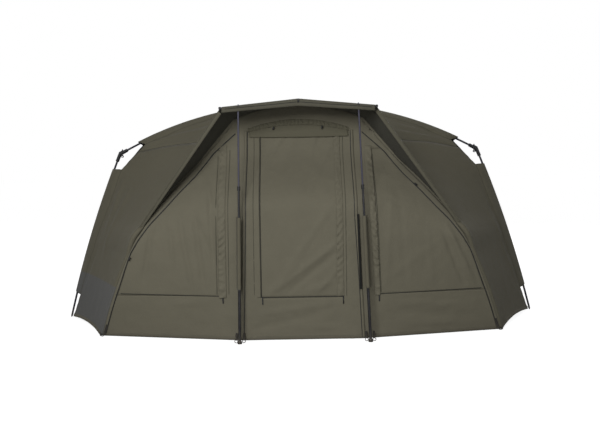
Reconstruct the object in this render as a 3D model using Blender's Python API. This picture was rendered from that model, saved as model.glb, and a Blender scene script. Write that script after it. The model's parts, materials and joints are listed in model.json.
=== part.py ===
# Bivvy tent: a six-rib folding shelter with a peaked hood on two storm poles
#
# A hub at the top carries six curved upper ribs. Each ends in a hinged knuckle whose lower leg
# folds in under the roof. Metres, +Z up, the front faces -Y, and the origin is on the ground
# under the middle of the tent.

import bpy
import bmesh
from math import atan, cos, pi, radians, sin, tan
from mathutils import Matrix, Vector

# Hub and ribs
HUB_HEIGHT = 1.590
HUB_RADIUS = 0.046
HUB_THICKNESS = 0.040
HUB_PIN_RADIUS = 0.058
HUB_LUG_LENGTH = 0.030
HUB_CHAMFER = 0.0065
LUG_START_SHARE = 0.75
HUB_CAP_RADIUS = 0.026
HUB_CAP_THICKNESS = 0.007
HUB_CAP_TOP_SHARE = 0.8
RIB_DIAMETER = 0.015
RIB_WALL = 0.0012
FIT_GAP = 0.0004
SOCKET_CLEARANCE = 0.0008

# Where each pair of ribs bends and stands, seen from above: turn is measured from straight
# out to the side, positive towards the back, and reach from the hub's axis
RIBS = {
    "front": {
        "knuckle_turn": -36.9, "knuckle_reach": 1.375, "knuckle_height": 0.680,
        "foot_turn": -26.4, "foot_reach": 1.536,
        "upper_sagitta": 0.170, "leg_sagitta": 0.030,
    },
    "side": {
        "knuckle_turn": 0.0, "knuckle_reach": 1.355, "knuckle_height": 1.240,
        "foot_turn": 0.0, "foot_reach": 1.765,
        "upper_sagitta": 0.085, "leg_sagitta": 0.026,
    },
    "rear": {
        "knuckle_turn": 52.0, "knuckle_reach": 1.355, "knuckle_height": 1.240,
        "foot_turn": 52.0, "foot_reach": 1.765,
        "upper_sagitta": 0.085, "leg_sagitta": 0.026,
    },
}
SIDES = {"left": -1.0, "right": 1.0}

# Knuckles
SOCKET_RADIUS = 0.0130
UPPER_SOCKET_LENGTH = 0.066
LOWER_SOCKET_LENGTH = 0.058
SOCKET_PLUG_DEPTH = 0.034
MITRE_GAP = 0.0006
PIVOT_OFFSET = 0.024
EAR_RADIUS = 0.0085
EAR_CLEARANCE = 0.0010
EAR_ROOT_SHARE = 0.4
TONGUE_THICKNESS = 0.0070
CHEEK_THICKNESS = 0.0040
CHEEK_GAP = 0.0005
KNUCKLE_PIN_DIAMETER = 0.0050
PIN_HEAD_DIAMETER = 0.0085
PIN_HEAD_THICKNESS = 0.0020
LATCH_LENGTH = 0.038
LATCH_THICKNESS = 0.0045
LATCH_WIDTH = 0.0090
LATCH_MITRE_GAP = 0.0035
LATCH_THUMB_HEIGHT = 0.0060

# Feet
FOOT_DIAMETER = 0.0148
FOOT_LENGTH = 0.040
FOOT_TIP_DIAMETER = 0.0085
FOOT_WAIST_SHARE = 0.7

# Storm poles under the brow
BROW_FORWARD = 0.940
BROW_HALF_WIDTH = 0.505
BROW_CORNER_HEIGHT = 1.527
BROW_APEX_HEIGHT = 1.573
BROW_BAR_DIAMETER = 0.008
BROW_END_SIZE = 0.018
BROW_END_CHAMFER = 0.003
STORM_STANDOFF = 0.020
STORM_TIP_OUT = 0.386
STORM_FOOT_OUT = {"left": 0.405, "right": 0.448}
STORM_FOOT_FORWARD = 0.040
STORM_COLLAR_HEIGHT = 1.010
STORM_UPPER_DIAMETER = 0.0115
STORM_MIDDLE_DIAMETER = 0.0145
STORM_MIDDLE_WALL = 0.0010
STORM_LOWER_DIAMETER = 0.0190
STORM_WALL = 0.0015
STORM_STEP_HEIGHT = 0.350
STORM_STEP_LENGTH = 0.004
STORM_OVERLAP = 0.500
STORM_SPIGOT_DIAMETER = 0.0070
STORM_SPIGOT_LENGTH = 0.040
STORM_TIP_RISE = 0.012
COLLAR_DIAMETER = 0.0210
COLLAR_LENGTH = 0.0280
COLLAR_LOBE = 0.0056
STORM_FOOT_DIAMETER = 0.030
STORM_FOOT_LENGTH = 0.022
STORM_PAD_SHARE = 0.6
EYELET_DIAMETER = 0.018
EYELET_THICKNESS = 0.003

# Fabric
FABRIC = 0.004
FABRIC_STANDOFF = 0.018
SEAT_GAP = 0.0006
SEAM_GAP = 0.0007
HOOD_EDGE_GAP = 0.0016
HEM_HEIGHT = 0.004
SIDE_HEM_RISE = 0.034
GORE_SAG = 0.016
GORE_FULL_WIDTH = 1.0
ARC_ROOM = 0.0035
HOOD_END_HEIGHT = 0.735
SLEEVE_UPPER_RISE = 0.078
SLEEVE_SLIT = 0.020
CUT_UPPER_INSET = 0.133
CUT_UPPER_RISE = 0.033
CUT_LOWER_INSET = 0.072
CUT_LEVEL_DROP = 0.117
SLEEVE_LEVEL_DROP = 0.124
FOOT_SLEEVE_HEIGHT = 0.200
FOOT_CUT_HEIGHT = 0.190
FOOT_CUT_INSET = 0.088
FOOT_HEM_INSET = 0.055
FRONT_KNUCKLE_BULGE = 0.017
FRONT_KNUCKLE_HALF_HEIGHT = 0.105
WALL_TOP_GAP = 0.0024

# Front panel
PANEL_FOOT_DEPTH = 0.024
PANEL_LEAN_START = 0.860
PANEL_LEAN_END = 1.300
PANEL_TOP_DEPTH = 0.300
STRIP_STANDOFF = 0.0156
STRIP_EDGE_BACK = 0.010
STRIP_WIDTH_ABOVE = 0.052
STRIP_WIDTH_BELOW = 0.022
ZIP_HEIGHT = 0.296
DOOR_HALF_WIDTH = 0.262
DOOR_TOP = 1.372
DOOR_BOTTOM = 0.288
WINDOW_INNER = 0.500
WINDOW_TOP = 1.255
PANEL_GAP = 0.0015
DOOR_FOLD = 0.007
DOOR_FOLDS = 1.6
DOOR_SLANT_SHARE = 0.9
WINDOW_FOLD = 0.005
WINDOW_FOLDS = 2.5
PANEL_OVERRUN_SHARE = 1.2
PANEL_HEAD_ROOM = 0.0165
VALANCE_HALF_WIDTH = 0.338
VALANCE_BOTTOM = 1.346
VALANCE_END_TOP = 1.384
VALANCE_CENTRE_TOP = 1.426
VALANCE_THICKNESS = 0.012
VALANCE_GAP = 0.002
PULL_WIDTH = 0.008
PULL_LENGTH = 0.052
PULL_THICKNESS = 0.004
PULL_GAP = 0.0005
PULL_CHAMFER = 0.0008

# Facets
TUBE_SIDES = 10
SOCKET_SIDES = 14
ROUND_SIDES = 20
RIB_STEPS = 9
LEG_STEPS = 5
ROOF_RINGS = 8
CUT_ROWS = 3
FOOT_ROWS = 4
GORE_COLUMNS = 4
WALL_ROWS = 7
HOOD_ROWS = 12
SEAT_PASSES = 3
HOOD_COLUMNS = 3
HOOD_CORNER_ROW = 4
STRIP_ROWS = 14
DOOR_ROWS = 18
DOOR_COLUMNS = 10
WINDOW_ROWS = 14
WINDOW_COLUMNS = 8
VALANCE_COLUMNS = 12
EAR_STEPS = 8
BISECTIONS = 40
SHARP_ANGLE = 35.0

# The middle of the tent lies half-way between the storm feet and the rear feet
FRONT_REACH = BROW_FORWARD + STORM_STANDOFF + STORM_FOOT_FORWARD + STORM_FOOT_DIAMETER / 2
REAR_REACH = RIBS["rear"]["foot_reach"] * sin(radians(RIBS["rear"]["foot_turn"])) + FOOT_DIAMETER / 2
HUB_Y = (FRONT_REACH - REAR_REACH) / 2
BROW_Y = HUB_Y - BROW_FORWARD

OLIVE = (0.105, 0.100, 0.072)
OLIVE_DARK = (0.060, 0.057, 0.040)
POLE = (0.035, 0.035, 0.042)
PLASTIC = (0.018, 0.018, 0.019)
STEEL = (0.45, 0.45, 0.46)


# Helpers

def material(name, colour, roughness, metallic=0.0):
    found = bpy.data.materials.get(name)
    if found:
        return found
    made = bpy.data.materials.new(name)
    made.use_nodes = True
    shader = made.node_tree.nodes["Principled BSDF"]
    shader.inputs["Base Color"].default_value = (*colour, 1.0)
    shader.inputs["Roughness"].default_value = roughness
    shader.inputs["Metallic"].default_value = metallic
    made.diffuse_color = (*colour, 1.0)
    return made


def add_object(name, bm, finish, colour, roughness, metallic=0.0, smooth=True):
    bmesh.ops.recalc_face_normals(bm, faces=bm.faces)
    mesh = bpy.data.meshes.new(name)
    bm.to_mesh(mesh)
    bm.free()
    if smooth:
        mesh.shade_smooth()
        mesh.set_sharp_from_angle(angle=radians(SHARP_ANGLE))
    mesh.materials.append(material(finish, colour, roughness, metallic))
    made = bpy.data.objects.new(name, mesh)
    bpy.context.collection.objects.link(made)
    return made


def move_origin(made, point):
    made.data.transform(Matrix.Translation(-point))
    made.location = point


def modifier_boolean(target, cutter, operation):
    step = target.modifiers.new(operation.lower(), "BOOLEAN")
    step.operation = operation
    step.object = cutter
    step.solver = "EXACT"
    cutter.display_type = "WIRE"
    cutter.hide_render = True


def frame_from(z_axis, x_axis):
    z_axis = z_axis.normalized()
    x_axis = (x_axis - z_axis * x_axis.dot(z_axis)).normalized()
    return Matrix((x_axis, z_axis.cross(x_axis), z_axis)).transposed()


def add_box(bm, width, depth, height):
    bmesh.ops.create_cube(bm, size=1.0)
    bmesh.ops.transform(bm, matrix=Matrix.Diagonal((width, depth, height, 1.0)), verts=bm.verts)


def place(bm, verts, rotation, point):
    bmesh.ops.transform(bm, matrix=Matrix.Translation(point) @ rotation.to_4x4(), verts=verts)


def ring(bm, centre, rotation, radius, sides):
    made = []
    for step in range(sides):
        angle = 2 * pi * step / sides
        made.append(bm.verts.new(centre + rotation @ Vector((radius * cos(angle), radius * sin(angle), 0.0))))
    return made


def bridge(bm, first, second):
    count = len(first)
    for step in range(count):
        follow = (step + 1) % count
        bm.faces.new((first[step], first[follow], second[follow], second[step]))


def swept_tube(bm, points, plane_normal, outer, inner, sides):
    # A tube, or a rod where inner is zero, along points that lie in one plane
    rings_out = []
    rings_in = []
    for step, point in enumerate(points):
        before = points[max(step - 1, 0)]
        after = points[min(step + 1, len(points) - 1)]
        rotation = frame_from(after - before, plane_normal)
        rings_out.append(ring(bm, point, rotation, outer, sides))
        if inner:
            rings_in.append(ring(bm, point, rotation, inner, sides))
    for step in range(len(points) - 1):
        bridge(bm, rings_out[step], rings_out[step + 1])
        if inner:
            bridge(bm, rings_in[step], rings_in[step + 1])
    if inner:
        bridge(bm, rings_out[0], rings_in[0])
        bridge(bm, rings_out[-1], rings_in[-1])
    else:
        bm.faces.new(rings_out[0])
        bm.faces.new(rings_out[-1])


def turned(bm, profile, point, axis, side_axis, sides):
    # A closed turned shape: profile holds (radius, height) pairs along the axis
    rotation = frame_from(axis, side_axis)
    rings = []
    for radius, height in profile:
        rings.append(ring(bm, point + rotation @ Vector((0.0, 0.0, height)), rotation, radius, sides))
    for first, second in zip(rings, rings[1:]):
        bridge(bm, first, second)
    if profile[0] == profile[-1]:
        bmesh.ops.remove_doubles(bm, verts=bm.verts, dist=FIT_GAP / 10)
    else:
        bm.faces.new(rings[0])
        bm.faces.new(rings[-1])


def arc_frame(start, end, out, sagitta):
    chord = end - start
    along = chord.normalized()
    out = (out - along * out.dot(along)).normalized()
    half = 2 * atan(2 * sagitta / chord.length)
    radius = chord.length / 2 / sin(half)
    centre = (start + end) / 2 - out * (radius - sagitta)
    return centre, out, along, half, radius


def arc_point(arc, share, lift=0.0):
    centre, out, along, half, radius = arc
    angle = (2 * share - 1) * half
    return centre + (out * cos(angle) + along * sin(angle)) * (radius + lift)


def arc_length(arc):
    return 2 * arc[3] * arc[4]


def mirrored(point, side):
    return Vector((point.x * side, point.y, point.z))


# Rib geometry, worked out for the right side and mirrored for the left

def plan_point(turn, reach, height):
    return Vector((reach * cos(radians(turn)), HUB_Y + reach * sin(radians(turn)), height))


def rib_geometry(sizes):
    pin = plan_point(sizes["knuckle_turn"], HUB_PIN_RADIUS, HUB_HEIGHT)
    knuckle = plan_point(sizes["knuckle_turn"], sizes["knuckle_reach"], sizes["knuckle_height"])
    foot = plan_point(sizes["foot_turn"], sizes["foot_reach"], 0.0)
    normal = (foot - pin).cross(knuckle - pin).normalized()
    out_upper = normal.cross(knuckle - pin)
    if out_upper.z < 0:
        out_upper = -out_upper
    out_leg = normal.cross(foot - knuckle)
    if out_leg.x < 0:
        out_leg = -out_leg
    upper = arc_frame(pin, knuckle, out_upper, sizes["upper_sagitta"])
    leg = arc_frame(knuckle, foot, out_leg, sizes["leg_sagitta"])
    from_hub = (arc_point(upper, HUB_LUG_LENGTH / arc_length(upper)) - pin).normalized()
    to_hub = (arc_point(upper, 1.0 - UPPER_SOCKET_LENGTH / arc_length(upper)) - knuckle).normalized()
    to_foot = (arc_point(leg, LOWER_SOCKET_LENGTH / arc_length(leg)) - knuckle).normalized()
    inner = (to_hub + to_foot).normalized()
    pivot = knuckle + inner * (PIVOT_OFFSET / (to_hub.cross(inner)).length)
    # The hinge axis is turned so that a positive angle folds the leg in under the roof
    axis = to_foot.cross(to_hub).normalized()
    return {
        "pin": pin, "knuckle": knuckle, "foot": foot, "normal": normal,
        "upper": upper, "leg": leg, "from_hub": from_hub, "to_hub": to_hub, "to_foot": to_foot,
        "inner": inner, "pivot": pivot, "axis": axis,
    }


GEOMETRY = {name: rib_geometry(sizes) for name, sizes in RIBS.items()}


def height_share(arc, height, lift):
    # The share along a falling arc at which it passes this height
    low = 0.0
    high = 1.0
    for _ in range(BISECTIONS):
        middle = (low + high) / 2
        if arc_point(arc, middle, lift).z > height:
            low = middle
        else:
            high = middle
    return (low + high) / 2


def rib_at(name, height, lift=0.0):
    # The point of a rib, or of the fabric line outside it, at a height
    upper = GEOMETRY[name]["upper"]
    leg = GEOMETRY[name]["leg"]
    upper_end = arc_point(upper, 1.0, lift)
    leg_start = arc_point(leg, 0.0, lift)
    if height >= max(upper_end.z, leg_start.z):
        return arc_point(upper, height_share(upper, height, lift), lift)
    if height <= min(upper_end.z, leg_start.z):
        return arc_point(leg, height_share(leg, height, lift), lift)
    span = upper_end.z - leg_start.z
    if abs(span) < FIT_GAP:
        return (upper_end + leg_start) / 2
    share = (height - leg_start.z) / span
    return leg_start.lerp(upper_end, min(max(share, 0.0), 1.0))


def crest_at(name, height):
    return rib_at(name, height, FABRIC_STANDOFF)


# Hub

def build_hub():
    bm = bmesh.new()
    centre = Vector((0.0, HUB_Y, HUB_HEIGHT))
    half = HUB_THICKNESS / 2
    chamfer = HUB_CHAMFER
    profile = [
        (HUB_RADIUS - chamfer, -half), (HUB_RADIUS, chamfer - half),
        (HUB_RADIUS, half - chamfer), (HUB_RADIUS - chamfer, half),
    ]
    turned(bm, profile, centre, Vector((0, 0, 1)), Vector((1, 0, 0)), ROUND_SIDES)
    hub = add_object("hub_block", bm, "plastic", PLASTIC, 0.45)
    for name, geometry in GEOMETRY.items():
        for side_name, side in SIDES.items():
            direction = mirrored(geometry["from_hub"], side)
            pin = mirrored(geometry["pin"], side)
            normal = mirrored(geometry["normal"], side)
            start = pin - direction * (HUB_PIN_RADIUS - HUB_RADIUS * LUG_START_SHARE)
            lug = bmesh.new()
            swept_tube(
                lug, [start, pin + direction * HUB_LUG_LENGTH], normal,
                SOCKET_RADIUS, 0.0, SOCKET_SIDES,
            )
            lug_object = add_object(f"lug_{name}_{side_name}", lug, "plastic", PLASTIC, 0.45)
            modifier_boolean(hub, lug_object, "UNION")
            bore = bmesh.new()
            swept_tube(
                bore, [pin, pin + direction * (HUB_LUG_LENGTH + SOCKET_RADIUS)], normal,
                RIB_DIAMETER / 2 + SOCKET_CLEARANCE, 0.0, TUBE_SIDES,
            )
            bore_object = add_object(f"bore_{name}_{side_name}", bore, "plastic", PLASTIC, 0.45)
            modifier_boolean(hub, bore_object, "DIFFERENCE")
    cap = bmesh.new()
    base = centre + Vector((0.0, 0.0, half + FIT_GAP))
    profile = [
        (HUB_CAP_RADIUS, 0.0), (HUB_CAP_RADIUS, HUB_CAP_THICKNESS / 2),
        (HUB_CAP_RADIUS * HUB_CAP_TOP_SHARE, HUB_CAP_THICKNESS),
    ]
    turned(cap, profile, base, Vector((0, 0, 1)), Vector((1, 0, 0)), ROUND_SIDES)
    add_object("hub_cap", cap, "plastic", PLASTIC, 0.45)


# Ribs and legs

def arc_run(arc, first, last, steps):
    return [arc_point(arc, first + (last - first) * step / steps) for step in range(steps + 1)]


def build_rib(name, side_name, side):
    # Each end runs straight inside its socket, and the rest follows the arc
    geometry = GEOMETRY[name]
    upper = geometry["upper"]
    length = arc_length(upper)
    points = [geometry["pin"] + geometry["from_hub"] * FIT_GAP]
    points += arc_run(upper, HUB_LUG_LENGTH / length, 1.0 - UPPER_SOCKET_LENGTH / length, RIB_STEPS)
    plug_end = UPPER_SOCKET_LENGTH - SOCKET_PLUG_DEPTH + FIT_GAP
    points.append(geometry["knuckle"] + geometry["to_hub"] * plug_end)
    points = [mirrored(point, side) for point in points]
    bm = bmesh.new()
    normal = mirrored(geometry["normal"], side)
    swept_tube(bm, points, normal, RIB_DIAMETER / 2, RIB_DIAMETER / 2 - RIB_WALL, TUBE_SIDES)
    add_object(f"rib_{name}_{side_name}", bm, "pole", POLE, 0.35, 0.6)


def build_leg(name, side_name, side):
    # A tube with its foot plug: a flanged cap that narrows to a blunt tip flat on the ground
    geometry = GEOMETRY[name]
    normal = mirrored(geometry["normal"], side)
    leg = geometry["leg"]
    length = arc_length(leg)
    plug_end = LOWER_SOCKET_LENGTH - SOCKET_PLUG_DEPTH + FIT_GAP
    points = [geometry["knuckle"] + geometry["to_foot"] * plug_end]
    points += arc_run(leg, LOWER_SOCKET_LENGTH / length, 1.0 - FOOT_LENGTH / length, LEG_STEPS)
    points = [mirrored(point, side) for point in points]
    bm = bmesh.new()
    rings = []
    for step, point in enumerate(points):
        before = points[max(step - 1, 0)]
        after = points[min(step + 1, len(points) - 1)]
        rings.append((point, frame_from(after - before, normal)))
    outer = [ring(bm, point, rotation, RIB_DIAMETER / 2, TUBE_SIDES) for point, rotation in rings]
    for lower, upper in zip(outer, outer[1:]):
        bridge(bm, lower, upper)
    bore_end = points[1]
    bore = [
        ring(bm, points[0], rings[0][1], RIB_DIAMETER / 2 - RIB_WALL, TUBE_SIDES),
        ring(bm, bore_end, rings[1][1], RIB_DIAMETER / 2 - RIB_WALL, TUBE_SIDES),
    ]
    bridge(bm, outer[0], bore[0])
    bridge(bm, bore[0], bore[1])
    bm.faces.new(bore[1])
    foot = mirrored(geometry["foot"], side)
    down = frame_from(foot - points[-1], normal)
    flat = frame_from(Vector((0, 0, -1)), normal)
    shoulder = ring(bm, points[-1], down, FOOT_DIAMETER / 2, TUBE_SIDES)
    waist = ring(bm, points[-1].lerp(foot, FOOT_WAIST_SHARE), down, FOOT_DIAMETER / 2, TUBE_SIDES)
    tip = ring(bm, foot, flat, FOOT_TIP_DIAMETER / 2, TUBE_SIDES)
    bridge(bm, outer[-1], shoulder)
    bridge(bm, shoulder, waist)
    bridge(bm, waist, tip)
    bm.faces.new(tip)
    made = add_object(f"leg_{name}_{side_name}", bm, "pole", POLE, 0.35, 0.6)
    move_origin(made, mirrored(geometry["pivot"], side))


def knuckle_frame(geometry, side):
    # Mirroring turns the hinge axis over, so the left side takes its negative
    axis = mirrored(geometry["axis"], side) * side
    return {
        "centre": mirrored(geometry["knuckle"], side),
        "pivot": mirrored(geometry["pivot"], side),
        "to_hub": mirrored(geometry["to_hub"], side),
        "to_foot": mirrored(geometry["to_foot"], side),
        "inner": mirrored(geometry["inner"], side),
        "axis": axis,
    }


def cylinder_object(name, start, end, radius, sides, across):
    bm = bmesh.new()
    swept_tube(bm, [start, end], across, radius, 0.0, sides)
    return add_object(name, bm, "plastic", PLASTIC, 0.45)


def ear_object(name, frame, along, low, high):
    # A plate from the socket's side out to the pivot, with a round end about the pivot. Its edge
    # keeps to the socket's own side of the mitre until it is clear of the other socket
    spoke = frame["pivot"] - frame["centre"]
    run = along * spoke.dot(along)
    outward = (spoke - run).normalized()
    lean = run.length / PIVOT_OFFSET
    root_rise = SOCKET_RADIUS * EAR_ROOT_SHARE
    clear_rise = SOCKET_RADIUS + EAR_CLEARANCE
    outline = []
    for rise in (root_rise, clear_rise):
        outline.append(frame["centre"] + outward * rise + along * (rise * lean + EAR_CLEARANCE))
    for step in range(EAR_STEPS + 1):
        angle = pi * step / EAR_STEPS
        outline.append(frame["pivot"] + (-along * cos(angle) + outward * sin(angle)) * EAR_RADIUS)
    outline.append(frame["centre"] + outward * root_rise + run + along * EAR_RADIUS)
    bm = bmesh.new()
    near = [bm.verts.new(point + frame["axis"] * low) for point in outline]
    far = [bm.verts.new(point + frame["axis"] * high) for point in outline]
    bm.faces.new(near)
    bm.faces.new(far)
    bridge(bm, near, far)
    return add_object(name, bm, "plastic", PLASTIC, 0.45)


def mitre_cutter(name, frame, along):
    # A block on the far side of the mitre plane, which trims a socket's end
    towards = (along - frame["inner"] * along.dot(frame["inner"])).normalized()
    rotation = frame_from(towards, frame["axis"])
    size = UPPER_SOCKET_LENGTH
    bm = bmesh.new()
    bmesh.ops.create_cube(bm, size=size)
    place(bm, bm.verts, rotation, frame["centre"] + towards * (MITRE_GAP / 2 - size / 2))
    return add_object(name, bm, "plastic", PLASTIC, 0.45)


def build_socket(name, frame, along, length, plates):
    centre = frame["centre"]
    start = centre - along * SOCKET_RADIUS
    socket = cylinder_object(name, start, centre + along * length, SOCKET_RADIUS, SOCKET_SIDES, frame["axis"])
    cutter = mitre_cutter(f"mitre_{name}", frame, along)
    modifier_boolean(socket, cutter, "DIFFERENCE")
    for number, (low, high) in enumerate(plates):
        ear = ear_object(f"ear_{number}_{name}", frame, along, low, high)
        modifier_boolean(socket, ear, "UNION")
    bore_low = centre + along * (length - SOCKET_PLUG_DEPTH)
    bore_high = centre + along * (length + SOCKET_RADIUS)
    bore = cylinder_object(
        f"bore_{name}", bore_low, bore_high,
        RIB_DIAMETER / 2 + SOCKET_CLEARANCE, TUBE_SIDES, frame["axis"],
    )
    modifier_boolean(socket, bore, "DIFFERENCE")
    reach = TONGUE_THICKNESS / 2 + CHEEK_GAP + CHEEK_THICKNESS * 2
    hole = cylinder_object(
        f"hole_{name}", frame["pivot"] - frame["axis"] * reach, frame["pivot"] + frame["axis"] * reach,
        KNUCKLE_PIN_DIAMETER / 2 + FIT_GAP, TUBE_SIDES, along,
    )
    modifier_boolean(socket, hole, "DIFFERENCE")
    return socket


def build_knuckle(name, side_name, side):
    frame = knuckle_frame(GEOMETRY[name], side)
    tail = f"{name}_{side_name}"
    half = TONGUE_THICKNESS / 2
    cheek = half + CHEEK_GAP
    build_socket(
        f"knuckle_upper_{tail}", frame, frame["to_hub"], UPPER_SOCKET_LENGTH,
        [(cheek, cheek + CHEEK_THICKNESS), (-cheek - CHEEK_THICKNESS, -cheek)],
    )
    build_socket(
        f"knuckle_lower_{tail}", frame, frame["to_foot"], LOWER_SOCKET_LENGTH, [(-half, half)],
    )
    reach = cheek + CHEEK_THICKNESS + FIT_GAP
    head = PIN_HEAD_DIAMETER / 2
    shank = KNUCKLE_PIN_DIAMETER / 2
    profile = [
        (head, -reach - PIN_HEAD_THICKNESS), (head, -reach), (shank, -reach),
        (shank, reach), (head, reach), (head, reach + PIN_HEAD_THICKNESS),
    ]
    bm = bmesh.new()
    turned(bm, profile, frame["pivot"], frame["axis"], frame["to_hub"], TUBE_SIDES)
    add_object(f"knuckle_pin_{tail}", bm, "steel", STEEL, 0.3, 1.0)
    build_latch(tail, frame)


def build_latch(tail, frame):
    # A lever on the outer side of the upper socket, with its nose at the mitre and a raised thumb end
    along = frame["to_hub"]
    outward = -frame["inner"] + along * frame["inner"].dot(along)
    outward.normalize()
    nose = LATCH_MITRE_GAP - SOCKET_RADIUS / tan(along.angle(frame["inner"]))
    base = SOCKET_RADIUS + FIT_GAP
    top = base + LATCH_THICKNESS
    tail_end = nose + LATCH_LENGTH
    thumb = top + LATCH_THUMB_HEIGHT
    profile = [
        (nose, base), (tail_end, base), (tail_end, thumb),
        (tail_end - LATCH_THICKNESS, thumb), (tail_end - 2 * LATCH_THICKNESS, top),
        (nose + LATCH_THICKNESS, top), (nose, base + LATCH_THICKNESS / 2),
    ]
    bm = bmesh.new()
    outline = [frame["centre"] + along * run + outward * rise for run, rise in profile]
    near = [bm.verts.new(point - frame["axis"] * LATCH_WIDTH / 2) for point in outline]
    far = [bm.verts.new(point + frame["axis"] * LATCH_WIDTH / 2) for point in outline]
    bm.faces.new(near)
    bm.faces.new(far)
    bridge(bm, near, far)
    made = add_object(f"latch_{tail}", bm, "plastic", PLASTIC, 0.45, smooth=False)
    move_origin(made, frame["centre"] + along * nose + outward * base)


# Storm poles and brow bar

def brow_height(out):
    share = min(abs(out) / BROW_HALF_WIDTH, 1.0)
    return BROW_APEX_HEIGHT + (BROW_CORNER_HEIGHT - BROW_APEX_HEIGHT) * share


def storm_line(side_name):
    side = SIDES[side_name]
    y_pole = BROW_Y - STORM_STANDOFF
    foot = Vector((side * STORM_FOOT_OUT[side_name], y_pole - STORM_FOOT_FORWARD, 0.0))
    tip = Vector((side * STORM_TIP_OUT, y_pole, brow_height(STORM_TIP_OUT) + STORM_TIP_RISE))
    return foot, tip


def build_storm_pole(side_name):
    foot, tip = storm_line(side_name)
    axis = (tip - foot).normalized()
    across = Vector((1, 0, 0))
    collar_at = foot + axis * (STORM_COLLAR_HEIGHT / axis.z)

    bm = bmesh.new()
    outer = STORM_LOWER_DIAMETER / 2
    inner = outer - STORM_WALL
    middle = STORM_MIDDLE_DIAMETER / 2
    bore = middle - STORM_MIDDLE_WALL
    pad = STORM_FOOT_DIAMETER / 2
    start = STORM_FOOT_LENGTH
    step = STORM_STEP_HEIGHT
    end = (collar_at - foot).length - FIT_GAP
    rotation = frame_from(axis, across)
    flat = frame_from(Vector((0, 0, 1)), across)
    rings = [
        ring(bm, foot, flat, pad, ROUND_SIDES),
        ring(bm, foot + axis * start * STORM_PAD_SHARE, rotation, pad, ROUND_SIDES),
        ring(bm, foot + axis * start, rotation, outer, ROUND_SIDES),
        ring(bm, foot + axis * step, rotation, outer, ROUND_SIDES),
        ring(bm, foot + axis * (step + STORM_STEP_LENGTH), rotation, middle, ROUND_SIDES),
        ring(bm, foot + axis * end, rotation, middle, ROUND_SIDES),
        ring(bm, foot + axis * end, rotation, bore, ROUND_SIDES),
        ring(bm, foot + axis * step, rotation, bore, ROUND_SIDES),
        ring(bm, foot + axis * (step - STORM_STEP_LENGTH), rotation, inner, ROUND_SIDES),
        ring(bm, foot + axis * start, rotation, inner, ROUND_SIDES),
    ]
    for first, second in zip(rings, rings[1:]):
        bridge(bm, first, second)
    bm.faces.new(rings[0])
    bm.faces.new(rings[-1])
    lower = add_object(f"storm_lower_{side_name}", bm, "pole", POLE, 0.35, 0.6)
    move_origin(lower, foot)

    bm = bmesh.new()
    body = STORM_UPPER_DIAMETER / 2
    spigot = STORM_SPIGOT_DIAMETER / 2
    shoulder = (tip - foot).length - STORM_SPIGOT_LENGTH
    profile = [
        (body, end - STORM_OVERLAP), (body, shoulder),
        (spigot, shoulder + body - spigot), (spigot, (tip - foot).length),
    ]
    turned(bm, profile, foot, axis, across, SOCKET_SIDES)
    add_object(f"storm_upper_{side_name}", bm, "pole", POLE, 0.35, 0.6)

    bm = bmesh.new()
    outer = COLLAR_DIAMETER / 2
    bore = STORM_UPPER_DIAMETER / 2 + 2 * FIT_GAP
    seat = STORM_MIDDLE_DIAMETER / 2 + FIT_GAP
    low = end - COLLAR_LENGTH / 2
    high = end + COLLAR_LENGTH / 2
    profile = [
        (outer, low), (outer, high), (bore, high), (bore, end + FIT_GAP), (seat, end + FIT_GAP),
        (seat, low), (outer, low),
    ]
    turned(bm, profile, foot, axis, across, ROUND_SIDES)
    collar = add_object(f"storm_collar_{side_name}", bm, "plastic", PLASTIC, 0.45)
    lobe = bmesh.new()
    add_box(lobe, COLLAR_LOBE * 2, COLLAR_LOBE, COLLAR_LENGTH / 2)
    place(lobe, lobe.verts, rotation, foot + axis * end + rotation @ Vector((0.0, -outer, 0.0)))
    lobe_object = add_object(f"lobe_{side_name}", lobe, "plastic", PLASTIC, 0.45)
    modifier_boolean(collar, lobe_object, "UNION")
    move_origin(collar, foot + axis * end)
    move_origin(lobe_object, foot + axis * end)


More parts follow.
